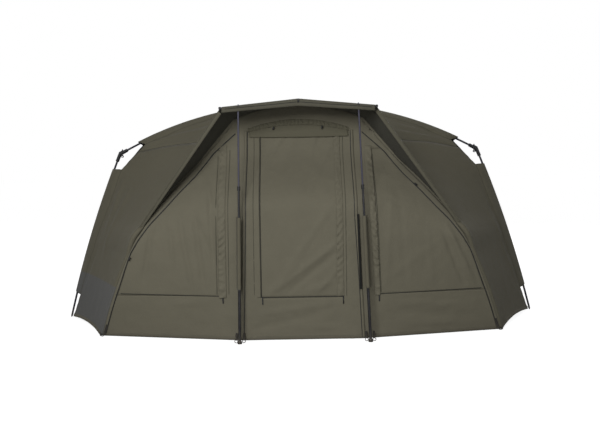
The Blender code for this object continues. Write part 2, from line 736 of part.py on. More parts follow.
def build_brow_bar():
    # A rod bent at the apex, with a moulded end at each corner, an apex block and two eyelets
    radius = BROW_BAR_DIAMETER / 2
    apex = Vector((0.0, BROW_Y, BROW_APEX_HEIGHT))
    corners = [Vector((side * BROW_HALF_WIDTH, BROW_Y, BROW_CORNER_HEIGHT)) for side in (-1.0, 1.0)]
    bm = bmesh.new()
    swept_tube(bm, [corners[0], apex, corners[1]], Vector((0, 1, 0)), radius, 0.0, TUBE_SIDES)
    bar = add_object("brow_bar", bm, "plastic", PLASTIC, 0.4)
    for number, point in enumerate((*corners, apex)):
        block = bmesh.new()
        bmesh.ops.create_cube(block, size=BROW_END_SIZE)
        bmesh.ops.bevel(
            block, geom=block.edges[:], offset=BROW_END_CHAMFER, segments=1, affect="EDGES",
        )
        place(block, block.verts, Matrix.Identity(3), point)
        block_object = add_object(f"brow_block_{number}", block, "plastic", PLASTIC, 0.4)
        modifier_boolean(bar, block_object, "UNION")
    for side_name, side in SIDES.items():
        foot, tip = storm_line(side_name)
        axis = (tip - foot).normalized()
        centre = tip - axis * STORM_TIP_RISE
        outer = EYELET_DIAMETER / 2
        inner = STORM_SPIGOT_DIAMETER / 2 + FIT_GAP * 2
        half = EYELET_THICKNESS * 2
        eyelet = bmesh.new()
        reach = outer + STORM_STANDOFF
        add_box(eyelet, EYELET_DIAMETER, reach, EYELET_THICKNESS)
        middle = centre + Vector((0.0, reach / 2 - outer, 0.0))
        place(eyelet, eyelet.verts, frame_from(axis, Vector((1, 0, 0))), middle)
        tab = add_object(f"eyelet_{side_name}", eyelet, "plastic", PLASTIC, 0.4)
        modifier_boolean(bar, tab, "UNION")
        hole = cylinder_object(
            f"eyelet_hole_{side_name}", centre - axis * half, centre + axis * half,
            inner, SOCKET_SIDES, Vector((1, 0, 0)),
        )
        modifier_boolean(bar, hole, "DIFFERENCE")


# Canopy

def bump(value, centre, half, depth):
    share = (value - centre) / half
    return depth * max(0.0, 1.0 - share ** 2)


def gore_point(start, end, share, insets):
    # A point of the cloth between two ribs, stood back from each and drawn in a little between
    across = end - start
    width = across.length
    share = insets[0] / width + (1.0 - (insets[0] + insets[1]) / width) * share
    point = start + across * share
    inward = Vector((0.0, HUB_Y, point.z)) - point
    sag = GORE_SAG * 4 * share * (1 - share) * min(width / GORE_FULL_WIDTH, 1.0)
    return point + inward.normalized() * sag


def grid_faces(bm, grid, skip=None):
    for row in range(len(grid) - 1):
        for column in range(len(grid[row]) - 1):
            if skip and skip(row, column):
                continue
            corners = (
                grid[row][column], grid[row][column + 1],
                grid[row + 1][column + 1], grid[row + 1][column],
            )
            bm.faces.new(corners)


def cloth_object(name, bm, outward_point, colour=OLIVE):
    # Gives an open sheet its thickness on the side away from the outside of the tent
    bmesh.ops.remove_doubles(bm, verts=bm.verts, dist=FIT_GAP)
    bmesh.ops.recalc_face_normals(bm, faces=bm.faces)
    bm.faces.ensure_lookup_table()
    votes = 0.0
    for face in bm.faces:
        votes += (face.calc_center_median() - outward_point).dot(face.normal) * face.calc_area()
    if votes < 0:
        bmesh.ops.reverse_faces(bm, faces=bm.faces)
    mesh = bpy.data.meshes.new(name)
    bm.to_mesh(mesh)
    bm.free()
    mesh.materials.append(material("fabric", colour, 0.9))
    made = bpy.data.objects.new(name, mesh)
    bpy.context.collection.objects.link(made)
    step = made.modifiers.new("thickness", "SOLIDIFY")
    step.thickness = FABRIC
    step.offset = -1.0
    step.use_even_offset = True
    return made


def gore_across(first, second, pair):
    # The way from one rib to the next, level with the middle of the legs
    middle = GEOMETRY["side"]["knuckle"].z / 2
    ends = [mirrored(rib_at(rib, middle), side) for rib, side in zip((first, second), pair)]
    return (ends[1] - ends[0]).normalized()


def roof_edge(name, side, across):
    # The line where the roof meets a rib, from the crown down: points, each with how far the
    # cloth stands back from it sideways. Below the sleeve's end it is cut back for the knuckle
    upper = GEOMETRY[name]["upper"]
    level = GEOMETRY["side"]["knuckle"].z
    end = height_share(upper, level + SLEEVE_UPPER_RISE, FABRIC_STANDOFF)
    line = []
    for ring_number in range(ROOF_RINGS):
        share = end * (ring_number + 1) / ROOF_RINGS
        line.append((mirrored(arc_point(upper, share, FABRIC_STANDOFF), side), SEAM_GAP))
    if name == "front":
        line.append((mirrored(crest_at(name, level + CUT_UPPER_RISE), side), SEAM_GAP))
        return line
    line[-1] = (line[-1][0], SLEEVE_SLIT)
    line.append((seated(name, side, across, level + CUT_UPPER_RISE), CUT_UPPER_INSET))
    return line


def roof_pairs():
    right = SIDES["right"]
    left = SIDES["left"]
    return [
        ("front", "side", (left, left)), ("side", "rear", (left, left)),
        ("rear", "rear", (left, right)), ("rear", "side", (right, right)),
        ("side", "front", (right, right)),
    ]


def crown_point(turn=0.0, reach=0.0):
    # The flat crown of the roof, lying on the hub's cap
    height = HUB_HEIGHT + HUB_THICKNESS / 2 + FIT_GAP + HUB_CAP_THICKNESS + SEAT_GAP + FABRIC
    return plan_point(turn, reach, height)


def build_roof():
    bm = bmesh.new()
    for first, second, pair in roof_pairs():
        across = gore_across(first, second, pair)
        edges = [roof_edge(rib, side, across) for rib, side in zip((first, second), pair)]
        grid = []
        for entries in zip(*edges):
            points = [point for point, inset in entries]
            insets = [inset for point, inset in entries]
            row = []
            for column in range(GORE_COLUMNS + 1):
                row.append(bm.verts.new(gore_point(*points, column / GORE_COLUMNS, insets)))
            grid.append(row)
        grid_faces(bm, grid)
        crown = []
        for column in range(GORE_COLUMNS + 1):
            toward = grid[0][column].co - crown_point()
            toward.z = 0.0
            crown.append(bm.verts.new(crown_point() + toward.normalized() * HUB_CAP_RADIUS))
        grid_faces(bm, [crown, grid[0]])
        apex = bm.verts.new(crown_point())
        for column in range(GORE_COLUMNS):
            bm.faces.new((apex, crown[column + 1], crown[column]))
    cloth_object("roof", bm, Vector((0.0, HUB_Y, HUB_HEIGHT / 2)))


def wall_hem(share):
    return HEM_HEIGHT + SIDE_HEM_RISE * 4 * share * (1 - share)


def rib_tangent(name, height):
    step = RIB_DIAMETER / 2
    return (rib_at(name, height + step) - rib_at(name, height - step)).normalized()


def seated(name, side, across, height):
    # Where a wall lies on one of its poles at a height: square out from the pole
    room = SEAT_GAP
    if name == "front":
        knuckle = GEOMETRY[name]["knuckle"].z
        room = ARC_ROOM + bump(height, knuckle, FRONT_KNUCKLE_HALF_HEIGHT, FRONT_KNUCKLE_BULGE)
    lift = RIB_DIAMETER / 2 + room + FABRIC
    aim = height
    for _ in range(SEAT_PASSES):
        centre = mirrored(rib_at(name, aim), side)
        normal = across.cross(mirrored(rib_tangent(name, aim), side)).normalized()
        if normal.dot(centre - Vector((0.0, HUB_Y, aim))) < 0:
            normal = -normal
        edge = centre + normal * lift
        aim += height - edge.z
    return edge


def wall_levels():
    # Heights of the rows. The first two pass the cut at the knuckles of the side and rear ribs,
    # and the last three pass the cut at their feet
    knuckle = GEOMETRY["side"]["knuckle"].z
    top = knuckle - SLEEVE_LEVEL_DROP
    levels = [knuckle + CUT_UPPER_RISE - WALL_TOP_GAP, knuckle - CUT_LEVEL_DROP, top]
    for row in range(WALL_ROWS):
        levels.append(top + (FOOT_SLEEVE_HEIGHT - top) * (row + 1) / WALL_ROWS)
    return levels + [FOOT_CUT_HEIGHT, FOOT_CUT_HEIGHT / 2, HEM_HEIGHT]


def wall_insets(name):
    # How far a wall stands back sideways from a rib, for every row
    insets = [SEAM_GAP] * len(wall_levels())
    if name != "front":
        insets[:CUT_ROWS] = [CUT_UPPER_INSET, CUT_LOWER_INSET, SLEEVE_SLIT]
        middle = (FOOT_CUT_INSET + FOOT_HEM_INSET) / 2
        insets[-FOOT_ROWS:] = [SLEEVE_SLIT, FOOT_CUT_INSET, middle, FOOT_HEM_INSET]
    return insets


def build_wall(name, first, second, pair):
    bm = bmesh.new()
    across = gore_across(first, second, pair)
    insets = zip(wall_insets(first), wall_insets(second))
    grid = []
    for level, row_insets in zip(wall_levels(), insets):
        points = [seated(rib, side, across, level) for rib, side in zip((first, second), pair)]
        line = []
        for column in range(GORE_COLUMNS + 1):
            line.append(bm.verts.new(gore_point(*points, column / GORE_COLUMNS, row_insets)))
        grid.append(line)
    for column, vertex in enumerate(grid[-1]):
        vertex.co.z = wall_hem(column / GORE_COLUMNS)
    grid_faces(bm, grid)
    cloth_object(name, bm, Vector((0.0, HUB_Y, HUB_HEIGHT / 2)))


def hood_lines():
    # Pairs of points, at the rib and at the hood's front edge, from the crown down to the hood's ends
    upper = GEOMETRY["front"]["upper"]
    last = height_share(upper, HOOD_END_HEIGHT, FABRIC_STANDOFF)
    back = BROW_Y + BROW_END_SIZE / 2 + HOOD_EDGE_GAP
    apex = Vector((0.0, back, BROW_APEX_HEIGHT + FABRIC / 2))
    corner = Vector((BROW_HALF_WIDTH, back, BROW_CORNER_HEIGHT + FABRIC / 2))
    end = arc_point(upper, last, FABRIC_STANDOFF) + Vector((0.0, -SEAM_GAP * 2, 0.0))
    lines = []
    for row in range(HOOD_ROWS + 1):
        if row == 0:
            rib_point = crown_point(-90.0, HUB_CAP_RADIUS)
        else:
            rib_point = arc_point(upper, last * row / HOOD_ROWS, FABRIC_STANDOFF)
        if row <= HOOD_CORNER_ROW:
            edge = apex.lerp(corner, row / HOOD_CORNER_ROW)
        else:
            edge = corner.lerp(end, (row - HOOD_CORNER_ROW) / (HOOD_ROWS - HOOD_CORNER_ROW))
        lines.append((rib_point, edge))
    return lines


def build_hood():
    bm = bmesh.new()
    for side in SIDES.values():
        grid = []
        for rib_point, edge in hood_lines():
            run = edge - rib_point
            gap = SEAM_GAP / run.length
            line = []
            for column in range(HOOD_COLUMNS + 1):
                part = gap + (1.0 - gap) * column / HOOD_COLUMNS
                line.append(bm.verts.new(mirrored(rib_point + run * part, side)))
            grid.append(line)
        grid_faces(bm, grid)
    cloth_object("hood", bm, Vector((0.0, HUB_Y, HUB_HEIGHT / 2)), OLIVE_DARK)


# Front panel: every piece of it lies on one sheet, whose depth follows from x and height

def smooth_step(value, low, high):
    share = min(max((value - low) / (high - low), 0.0), 1.0)
    return share * share * (3 - 2 * share)


def storm_panel_y(height):
    near = BROW_Y + PANEL_FOOT_DEPTH
    return near + (PANEL_TOP_DEPTH - PANEL_FOOT_DEPTH) * smooth_step(height, PANEL_LEAN_START, PANEL_LEAN_END)


def storm_panel_x(height):
    share = min(max(height / brow_height(STORM_TIP_OUT), 0.0), 1.0)
    return STORM_FOOT_OUT["left"] + (STORM_TIP_OUT - STORM_FOOT_OUT["left"]) * share


def rib_front(height):
    # Where the panel crosses the front rib, held in front of the tube and not behind its top plane
    point = rib_at("front", height)
    return point.x, min(point.y - STRIP_STANDOFF, BROW_Y + PANEL_TOP_DEPTH)


def panel_y(out, height):
    out = abs(out)
    inner = storm_panel_x(height)
    near = storm_panel_y(height)
    rib_x, rib_y = rib_front(height)
    if out <= inner or rib_x - inner < SOCKET_RADIUS:
        return near
    share = min((out - inner) / (rib_x - inner), PANEL_OVERRUN_SHARE)
    return near + (rib_y - near) * share


def strip_outer(height):
    return rib_at("front", height).x - STRIP_EDGE_BACK


def strip_inner(height):
    knuckle = GEOMETRY["front"]["knuckle"].z
    blend = smooth_step(height, knuckle - STRIP_WIDTH_ABOVE, knuckle + STRIP_WIDTH_ABOVE * 3)
    width = STRIP_WIDTH_BELOW + (STRIP_WIDTH_ABOVE - STRIP_WIDTH_BELOW) * blend
    return strip_outer(height) - width


def panel_vertex(bm, out, height):
    return bm.verts.new(Vector((out, panel_y(out, height), height)))


def fold(depth, count, across_share, up_share, slant_share=0.0):
    # Depth of soft folds at a place on a sheet, none of it at the sheet's edges
    fade = 16 * across_share * (1 - across_share) * up_share * (1 - up_share)
    return depth * min(fade, 1.0) * sin(2 * pi * count * (across_share + slant_share * up_share))


def thicken_back(name, bm, thickness, colour=OLIVE):
    # Gives a sheet its thickness towards the inside of the tent, along +Y
    bmesh.ops.remove_doubles(bm, verts=bm.verts, dist=FIT_GAP)
    loose = [vertex for vertex in bm.verts if not vertex.link_faces]
    bmesh.ops.delete(bm, geom=loose, context="VERTS")
    grown = bmesh.ops.extrude_face_region(bm, geom=bm.faces[:])
    verts = [item for item in grown["geom"] if isinstance(item, bmesh.types.BMVert)]
    bmesh.ops.translate(bm, vec=Vector((0.0, thickness, 0.0)), verts=verts)
    made = add_object(name, bm, "fabric", colour, 0.9, smooth=False)
    return made


def hood_underside(out):
    # Height of the hood above the panel's top plane, less room for its cloth
    plane = BROW_Y + PANEL_TOP_DEPTH
    points = []
    for rib_point, edge in hood_lines():
        if rib_point.y <= plane:
            break
        crossing = rib_point.lerp(edge, (rib_point.y - plane) / (rib_point.y - edge.y))
        points.append(crossing)
    for near, far in zip(points, points[1:]):
        if near.x <= out <= far.x:
            return near.z + (far.z - near.z) * (out - near.x) / (far.x - near.x) - PANEL_HEAD_ROOM
    return points[-1].z - PANEL_HEAD_ROOM


def build_front_surround():
    # The sewn frame of the front panel: a skirt along the ground, strips along the ribs and
    # beside the door, and an arch above, with the openings of the door and the two windows
    bm = bmesh.new()
    door = DOOR_HALF_WIDTH + PANEL_GAP
    window = WINDOW_INNER - PANEL_GAP
    skirt_rows = [HEM_HEIGHT, (HEM_HEIGHT + ZIP_HEIGHT) / 2, DOOR_BOTTOM - PANEL_GAP]
    low = ZIP_HEIGHT - PANEL_GAP
    high = WINDOW_TOP + PANEL_GAP
    strip_rows = [low + (high - low) * row / STRIP_ROWS for row in range(STRIP_ROWS + 1)]
    arch_base = DOOR_TOP + PANEL_GAP
    rows = skirt_rows + strip_rows + [arch_base]
    grid = []
    for height in rows:
        outer = strip_outer(height)
        inner = max(strip_inner(height), window + PANEL_GAP * 4)
        outer = max(outer, inner + STRIP_WIDTH_BELOW / 2)
        storm = storm_panel_x(height)
        ends = [outer, inner, window, storm, door]
        line = [-value for value in ends] + [0.0] + list(reversed(ends))
        grid.append([panel_vertex(bm, value, height) for value in line])
    door_first = len(skirt_rows) - 1
    door_last = len(rows) - 2
    window_first = len(skirt_rows)
    window_last = len(skirt_rows) + len(strip_rows) - 2

    def is_open(row, column):
        if column in (4, 5):
            return door_first <= row <= door_last
        if column in (1, 8):
            return window_first <= row <= window_last
        return False

    grid_faces(bm, grid, is_open)
    top_line = grid[-1]
    above = []
    for vertex in top_line:
        out = vertex.co.x
        height = max(hood_underside(abs(out)), arch_base + FABRIC)
        above.append(panel_vertex(bm, out, height))
    for column in range(len(top_line) - 1):
        bm.faces.new((top_line[column], top_line[column + 1], above[column + 1], above[column]))
    thicken_back("front_surround", bm, FABRIC)


def build_window(side_name, side):
    bm = bmesh.new()
    grid = []
    bottom = ZIP_HEIGHT + PANEL_GAP
    top = WINDOW_TOP - PANEL_GAP
    for row in range(WINDOW_ROWS + 1):
        height = bottom + (top - bottom) * row / WINDOW_ROWS
        inner = WINDOW_INNER + PANEL_GAP
        outer = max(strip_inner(height) - PANEL_GAP * 2, inner + PANEL_GAP * 2)
        line = []
        for column in range(WINDOW_COLUMNS + 1):
            share = column / WINDOW_COLUMNS
            vertex = panel_vertex(bm, side * (inner + (outer - inner) * share), height)
            vertex.co.y += fold(WINDOW_FOLD, WINDOW_FOLDS, share, row / WINDOW_ROWS)
            line.append(vertex)
        grid.append(line)
    grid_faces(bm, grid)
    thicken_back(f"window_{side_name}", bm, FABRIC)


def build_door():
    bm = bmesh.new()
    bottom = DOOR_BOTTOM + PANEL_GAP
    top = DOOR_TOP - PANEL_GAP
    half = DOOR_HALF_WIDTH - PANEL_GAP
    grid = []
    for row in range(DOOR_ROWS + 1):
        height = bottom + (top - bottom) * row / DOOR_ROWS
        line = []
        for column in range(DOOR_COLUMNS + 1):
            share = column / DOOR_COLUMNS
            vertex = panel_vertex(bm, half * (2 * share - 1), height)
            vertex.co.y += fold(DOOR_FOLD, DOOR_FOLDS, share, row / DOOR_ROWS, DOOR_SLANT_SHARE)
            line.append(vertex)
        grid.append(line)
    grid_faces(bm, grid)
    thicken_back("door", bm, FABRIC)


def build_valance():
    # The rolled flap over the door's top, a shallow lens in front of the panel
    bm = bmesh.new()
    forward = VALANCE_THICKNESS + VALANCE_GAP
    grid = [[], []]
    for column in range(VALANCE_COLUMNS + 1):
        share = 2 * column / VALANCE_COLUMNS - 1
        out = VALANCE_HALF_WIDTH * share
        top = VALANCE_END_TOP + (VALANCE_CENTRE_TOP - VALANCE_END_TOP) * (1 - share * share)
        depth = min(panel_y(out, VALANCE_BOTTOM), panel_y(out, top)) - forward
        grid[0].append(bm.verts.new(Vector((out, depth, VALANCE_BOTTOM))))
        grid[1].append(bm.verts.new(Vector((out, depth, top))))
    grid_faces(bm, grid)
    thicken_back("door_valance", bm, VALANCE_THICKNESS)


def build_pull(name, out, height):
    # A zip slider with its hanging pull tab
    bm = bmesh.new()
    add_box(bm, PULL_WIDTH, PULL_THICKNESS, PULL_LENGTH)
    edges = (out - PULL_WIDTH / 2, out + PULL_WIDTH / 2)
    depth = min(panel_y(edge, level) for edge in edges for level in (height, height - PULL_LENGTH))
    place_at = Vector((out, depth - PULL_GAP - PULL_THICKNESS / 2, height - PULL_LENGTH / 2))
    place(bm, bm.verts, Matrix.Identity(3), place_at)
    bmesh.ops.bevel(bm, geom=bm.edges[:], offset=PULL_CHAMFER, segments=1, affect="EDGES")
    made = add_object(name, bm, "plastic", PLASTIC, 0.45, smooth=False)
    move_origin(made, place_at)


def build_all():
    for old in list(bpy.data.objects):
        bpy.data.objects.remove(old, do_unlink=True)
    build_hub()
    for name in RIBS:
        for side_name, side in SIDES.items():
            build_rib(name, side_name, side)
            build_leg(name, side_name, side)
            build_knuckle(name, side_name, side)
    for side_name in SIDES:
        build_storm_pole(side_name)
    build_brow_bar()
    build_roof()
    build_hood()
    for side_name, side in SIDES.items():
        build_wall(f"wall_front_{side_name}", "front", "side", (side, side))
        build_wall(f"wall_rear_{side_name}", "side", "rear", (side, side))
    build_wall("wall_back", "rear", "rear", (SIDES["left"], SIDES["right"]))
    build_front_surround()
    for side_name, side in SIDES.items():
        build_window(side_name, side)
        build_pull(f"window_pull_{side_name}", side * (WINDOW_INNER + PULL_WIDTH * 2), ZIP_HEIGHT + FABRIC)
    build_door()
    build_valance()
    build_pull("door_pull", -DOOR_HALF_WIDTH + PULL_WIDTH, DOOR_BOTTOM + FABRIC)


build_all()
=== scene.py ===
import json
from math import acos, atan, cos, exp, hypot, pi, radians, sin

import bmesh
import bpy
import numpy as np
from mathutils import Matrix, Vector, noise


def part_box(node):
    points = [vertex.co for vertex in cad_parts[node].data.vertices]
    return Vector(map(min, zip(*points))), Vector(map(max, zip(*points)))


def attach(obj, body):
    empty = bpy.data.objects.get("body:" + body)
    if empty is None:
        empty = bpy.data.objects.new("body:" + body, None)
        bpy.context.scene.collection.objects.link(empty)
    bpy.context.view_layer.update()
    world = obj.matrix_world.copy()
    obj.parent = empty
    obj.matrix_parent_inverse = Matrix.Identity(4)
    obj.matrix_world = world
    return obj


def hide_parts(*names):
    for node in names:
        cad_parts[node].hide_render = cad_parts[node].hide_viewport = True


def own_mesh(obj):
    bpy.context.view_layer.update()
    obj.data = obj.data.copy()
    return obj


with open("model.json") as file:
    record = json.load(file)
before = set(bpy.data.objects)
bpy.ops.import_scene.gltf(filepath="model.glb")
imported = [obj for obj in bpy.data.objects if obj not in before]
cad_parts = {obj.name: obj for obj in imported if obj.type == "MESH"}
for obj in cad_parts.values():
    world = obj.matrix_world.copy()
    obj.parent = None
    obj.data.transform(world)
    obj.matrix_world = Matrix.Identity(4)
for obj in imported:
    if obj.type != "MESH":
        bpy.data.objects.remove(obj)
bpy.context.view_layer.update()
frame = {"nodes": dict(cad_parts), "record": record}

print("frame loaded,", len(frame["nodes"]), "solids")

# lines that the cloth follows, the same numbers as the solids
tent = {
    "hubHeight": 1.590, "pinReach": 0.058, "crownHeight": 1.622, "crownRadius": 0.026,
    "roofLift": 0.018, "wallLift": 0.0121, "frontLift": 0.015, "liftLow": 1.16, "liftHigh": 1.36,
    "kneeBulge": 0.017, "kneeReach": 0.105, "splitHeight": 1.273, "hemHeight": 0.004, "hemRise": 0.034,
    "sag": 0.016,
}
sidePlan = {"kneeTurn": 0.0, "kneeReach": 1.355, "kneeHeight": 1.240,
            "footTurn": 0.0, "footReach": 1.765, "upperBow": 0.085, "legBow": 0.026}
ribPlan = {
    "front": {"kneeTurn": -36.9, "kneeReach": 1.375, "kneeHeight": 0.680,
              "footTurn": -26.4, "footReach": 1.536, "upperBow": 0.170, "legBow": 0.030},
    "side": sidePlan, "rear": {**sidePlan, "kneeTurn": 52.0, "footTurn": 52.0},
}
capLow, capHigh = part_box("hub_cap")
hubY = (capLow.y + capHigh.y) / 2
browY = hubY - 0.940
sides = {"left": -1, "right": 1}


def planPoint(turn, reach, height):
    return Vector((reach * cos(radians(turn)), hubY + reach * sin(radians(turn)), height))


def arcLine(start, end, out, bow, count=241):
    # points along an arc that bows outward by this much, and the outward direction at each
    chord = end - start
    along = chord.normalized()
    out = (out - along * out.dot(along)).normalized()
    half = 2 * atan(2 * bow / chord.length)
    radius = chord.length / 2 / sin(half)
    angles = np.linspace(-half, half, count)
    ways = np.outer(np.cos(angles), out) + np.outer(np.sin(angles), along)
    return np.array((start + end) / 2 - out * (radius - bow)) + ways * radius, ways


def ribRun(plan):
    # centre points and outward directions of a right-hand rib, hub to knee and knee to foot
    pin = planPoint(plan["kneeTurn"], tent["pinReach"], tent["hubHeight"])
    knee = planPoint(plan["kneeTurn"], plan["kneeReach"], plan["kneeHeight"])
    foot = planPoint(plan["footTurn"], plan["footReach"], 0.0)
    normal = (foot - pin).cross(knee - pin).normalized()
    up, away = normal.cross(knee - pin), normal.cross(foot - knee)
    return [arcLine(pin, knee, up if up.z > 0 else -up, plan["upperBow"]),
            arcLine(knee, foot, away if away.x > 0 else -away, plan["legBow"])]


ribs = {name: ribRun(plan) for name, plan in ribPlan.items()}


def upperAt(name, share, lift):
    points, ways = ribs[name][0]
    place = share * (len(points) - 1)
    low = min(int(place), len(points) - 2)
    part = place - low
    lifted = points + ways * lift
    return lifted[low] * (1 - part) + lifted[low + 1] * part


def ribAt(name, height, lift):
    # a point of the rib, or of the line this far outside it, at a height
    points = np.vstack([run[0] + run[1] * lift for run in ribs[name]])[::-1]
    return np.array([np.interp(height, points[:, 2], points[:, axis]) for axis in range(3)])


def shareAt(name, height, lift):
    points, ways = ribs[name][0]
    heights = (points + ways * lift)[::-1, 2]
    return float(np.interp(height, heights, np.linspace(1, 0, len(points))))


def mixed(first, second, share):
    return first + (second - first) * share


def clamped(value):
    return min(max(value, 0.0), 1.0)


def smoothStep(value, low, high):
    share = clamped((value - low) / (high - low))
    return share * share * (3 - 2 * share)


def bell(value):
    return exp(-value ** 2)


def unit(vectors):
    return vectors / np.maximum(np.linalg.norm(vectors, axis=-1, keepdims=True), 1e-9)


def rumple(point, size, seed=0.0):
    # smooth noise about -1 to 1 at a place, with features this big
    return noise.noise(Vector(point) / size + Vector((seed, seed * 1.7, -seed)))


def lineAt(spots, height):
    # x of a line of (x, z) at a height
    return float(np.interp(height, [spot[1] for spot in spots], [spot[0] for spot in spots]))


def liftAt(name, height):
    # how far the cloth stands outside a rib's centre line
    low = tent["frontLift"] if name == "front" else tent["wallLift"]
    lift = mixed(low, tent["roofLift"], smoothStep(height, tent["liftLow"], tent["liftHigh"]))
    if name == "front":
        away = (height - ribPlan[name]["kneeHeight"]) / tent["kneeReach"]
        lift += tent["kneeBulge"] * max(0.0, 1 - away ** 2)
    return lift


def fill(tree, node, values):
    # numbers and colours are set on a node's inputs, and outputs are linked to them
    for slot, value in values.items():
        socket = node.inputs[slot]
        if isinstance(value, bpy.types.NodeSocket):
            tree.links.new(value, socket)
        else:
            socket.default_value = (*value, 1.0) if socket.type == "RGBA" else value
    return node


def addNode(tree, kind, values=None):
    return fill(tree, tree.nodes.new("ShaderNode" + kind), values or {})


def mathNode(tree, operation, *values):
    node = addNode(tree, "Math")
    node.operation = operation
    return fill(tree, node, dict(enumerate(values))).outputs[0]


def mixColours(tree, blend, factor, first, second):
    node = addNode(tree, "Mix")
    node.data_type = "RGBA"
    node.blend_type = blend
    return fill(tree, node, {0: factor, 6: first, 7: second}).outputs[2]


def noiseNode(tree, vector, scale, detail=3.0, rough=0.55, stretch=None):
    if stretch:
        vector = addNode(tree, "Mapping", {"Vector": vector, "Scale": stretch}).outputs["Vector"]
    return addNode(tree, "TexNoise", {"Vector": vector, "Scale": scale, "Detail": detail,
                                      "Roughness": rough}).outputs["Fac"]


def rampNode(tree, value, start, end, low=0.0, high=1.0):
    return addNode(tree, "MapRange", {"Value": value, "From Min": start, "From Max": end,
                                      "To Min": low, "To Max": high}).outputs[0]


def axesOf(tree, vector):
    return addNode(tree, "SeparateXYZ", {0: vector}).outputs


def greyOf(tree, value):
    return addNode(tree, "CombineColor", {0: value, 1: value, 2: value}).outputs[0]


def shaderGroup(name, inputs, outputs):
    # an input's default tells its kind: none for a vector, a number, or a colour
    tree = bpy.data.node_groups.new(name, "ShaderNodeTree")
    for label, value in inputs.items():
        kind = "Vector" if value is None else "Float" if isinstance(value, float) else "Color"
        socket = tree.interface.new_socket(name=label, in_out="INPUT", socket_type="NodeSocket" + kind)
        if value is not None:
            socket.default_value = value if kind == "Float" else (*value, 1.0)
    for label in outputs:
        kind = "Color" if label == "Colour" else "Float"
        tree.interface.new_socket(name=label, in_out="OUTPUT", socket_type="NodeSocket" + kind)
    return tree, tree.nodes.new("NodeGroupInput").outputs, tree.nodes.new("NodeGroupOutput")


plainColour = (0.1, 0.1, 0.1)


def buildWeave():
    # plain weave from the cloth's own lay, in metres: two sets of threads over and under
    tree, given, made = shaderGroup("clothWeave", {"Lay": None, "Threads": 1500.0}, ["Height", "Shade"])
    split = axesOf(tree, given["Lay"])
    waves = []
    for axis in "XY":
        turns = mathNode(tree, "MULTIPLY", split[axis], given["Threads"])
        waves.append(mathNode(tree, "SINE", mathNode(tree, "MULTIPLY", turns, 2 * pi)))
    crossing = mathNode(tree, "MULTIPLY", *waves)
    slub = noiseNode(tree, given["Lay"], 60.0, 2.0, 0.5, (1.0, 9.0, 1.0))
    fill(tree, made, {"Height": mathNode(tree, "MULTIPLY_ADD", crossing, 0.35, slub),
                      "Shade": mathNode(tree, "MULTIPLY_ADD", crossing, 0.06, 0.97)})
    return tree


def buildMottle():
    # uneven dye and handling marks, at three sizes
    tree, given, made = shaderGroup(
        "clothMottle", {"Place": None, "Colour": plainColour, "Amount": 0.12}, ["Colour", "Mask"])
    broad, middle, fine = (noiseNode(tree, given["Place"], scale, detail)
                           for scale, detail in ((2.2, 2.0), (14.0, 3.0), (160.0, 2.0)))
    total = mathNode(tree, "MULTIPLY_ADD", middle, 0.7, broad)
    total = mathNode(tree, "MULTIPLY_ADD", fine, 0.5, total)
    factor = mathNode(tree, "MULTIPLY_ADD", mathNode(tree, "SUBTRACT", total, 1.1), given["Amount"], 1.0)
    fill(tree, made, {"Colour": mixColours(tree, "MULTIPLY", 1.0, given["Colour"], greyOf(tree, factor)),
                      "Mask": middle})
    return tree


def buildGroundDust():
    # dry dust that rises from the ground along the hems and feet
    tree, given, made = shaderGroup(
        "groundDust", {"Place": None, "Colour": plainColour, "Dust": (0.16, 0.14, 0.11), "Rise": 0.12,
                       "Amount": 0.35}, ["Colour", "Mask"])
    level = mathNode(tree, "DIVIDE", axesOf(tree, given["Place"])["Z"], given["Rise"])
    cloud = noiseNode(tree, given["Place"], 18.0, 4.0)
    level = mathNode(tree, "SUBTRACT", mathNode(tree, "MULTIPLY_ADD", cloud, 0.9, 0.55), level)
    dusty = addNode(tree, "Clamp", {0: level}).outputs[0]
    mask = mathNode(tree, "MULTIPLY", dusty, given["Amount"])
    fill(tree, made, {"Colour": mixColours(tree, "MIX", mask, given["Colour"], given["Dust"]), "Mask": mask})
    return tree


def buildCrinkle():
    # small creases left by packing the cloth away
    tree, given, made = shaderGroup("clothCrinkle", {"Place": None, "Size": 9.0}, ["Height"])
    wobble = addNode(tree, "TexNoise", {"Vector": given["Place"], "Scale": 6.0})
    shift = addNode(tree, "VectorMath")
    shift.operation = "MULTIPLY_ADD"
    fill(tree, shift, {0: wobble.outputs["Color"], 1: (0.12, 0.12, 0.12), 2: given["Place"]})
    cells = addNode(tree, "TexVoronoi")
    cells.feature = "SMOOTH_F1"
    fill(tree, cells, {"Vector": shift.outputs[0], "Scale": given["Size"], "Smoothness": 0.35})
    soft = noiseNode(tree, given["Place"], 26.0, 3.0)
    fill(tree, made, {"Height": mathNode(tree, "MULTIPLY_ADD", soft, 0.35, cells.outputs["Distance"])})
    return tree


def buildStitches():
    # a row of thread dashes at each side of a tape; the lay's X runs along it and Y across, in metres
    tree, given, made = shaderGroup("stitchRows", {"Lay": None, "Half": 0.003, "Length": 0.0045},
                                    ["Mask", "Height"])
    split = axesOf(tree, given["Lay"])
    across = mathNode(tree, "ABSOLUTE", split["Y"])
    away = mathNode(tree, "ABSOLUTE", mathNode(tree, "SUBTRACT", across, given["Half"]))
    row = mathNode(tree, "LESS_THAN", away, 0.00055)
    turns = mathNode(tree, "DIVIDE", split["X"], given["Length"])
    dash = mathNode(tree, "LESS_THAN", mathNode(tree, "FRACT", turns), 0.72)
    mask = mathNode(tree, "MULTIPLY", row, dash)
    fill(tree, made, {"Mask": mask, "Height": mathNode(tree, "MULTIPLY_ADD", row, -0.6, mask)})
    return tree


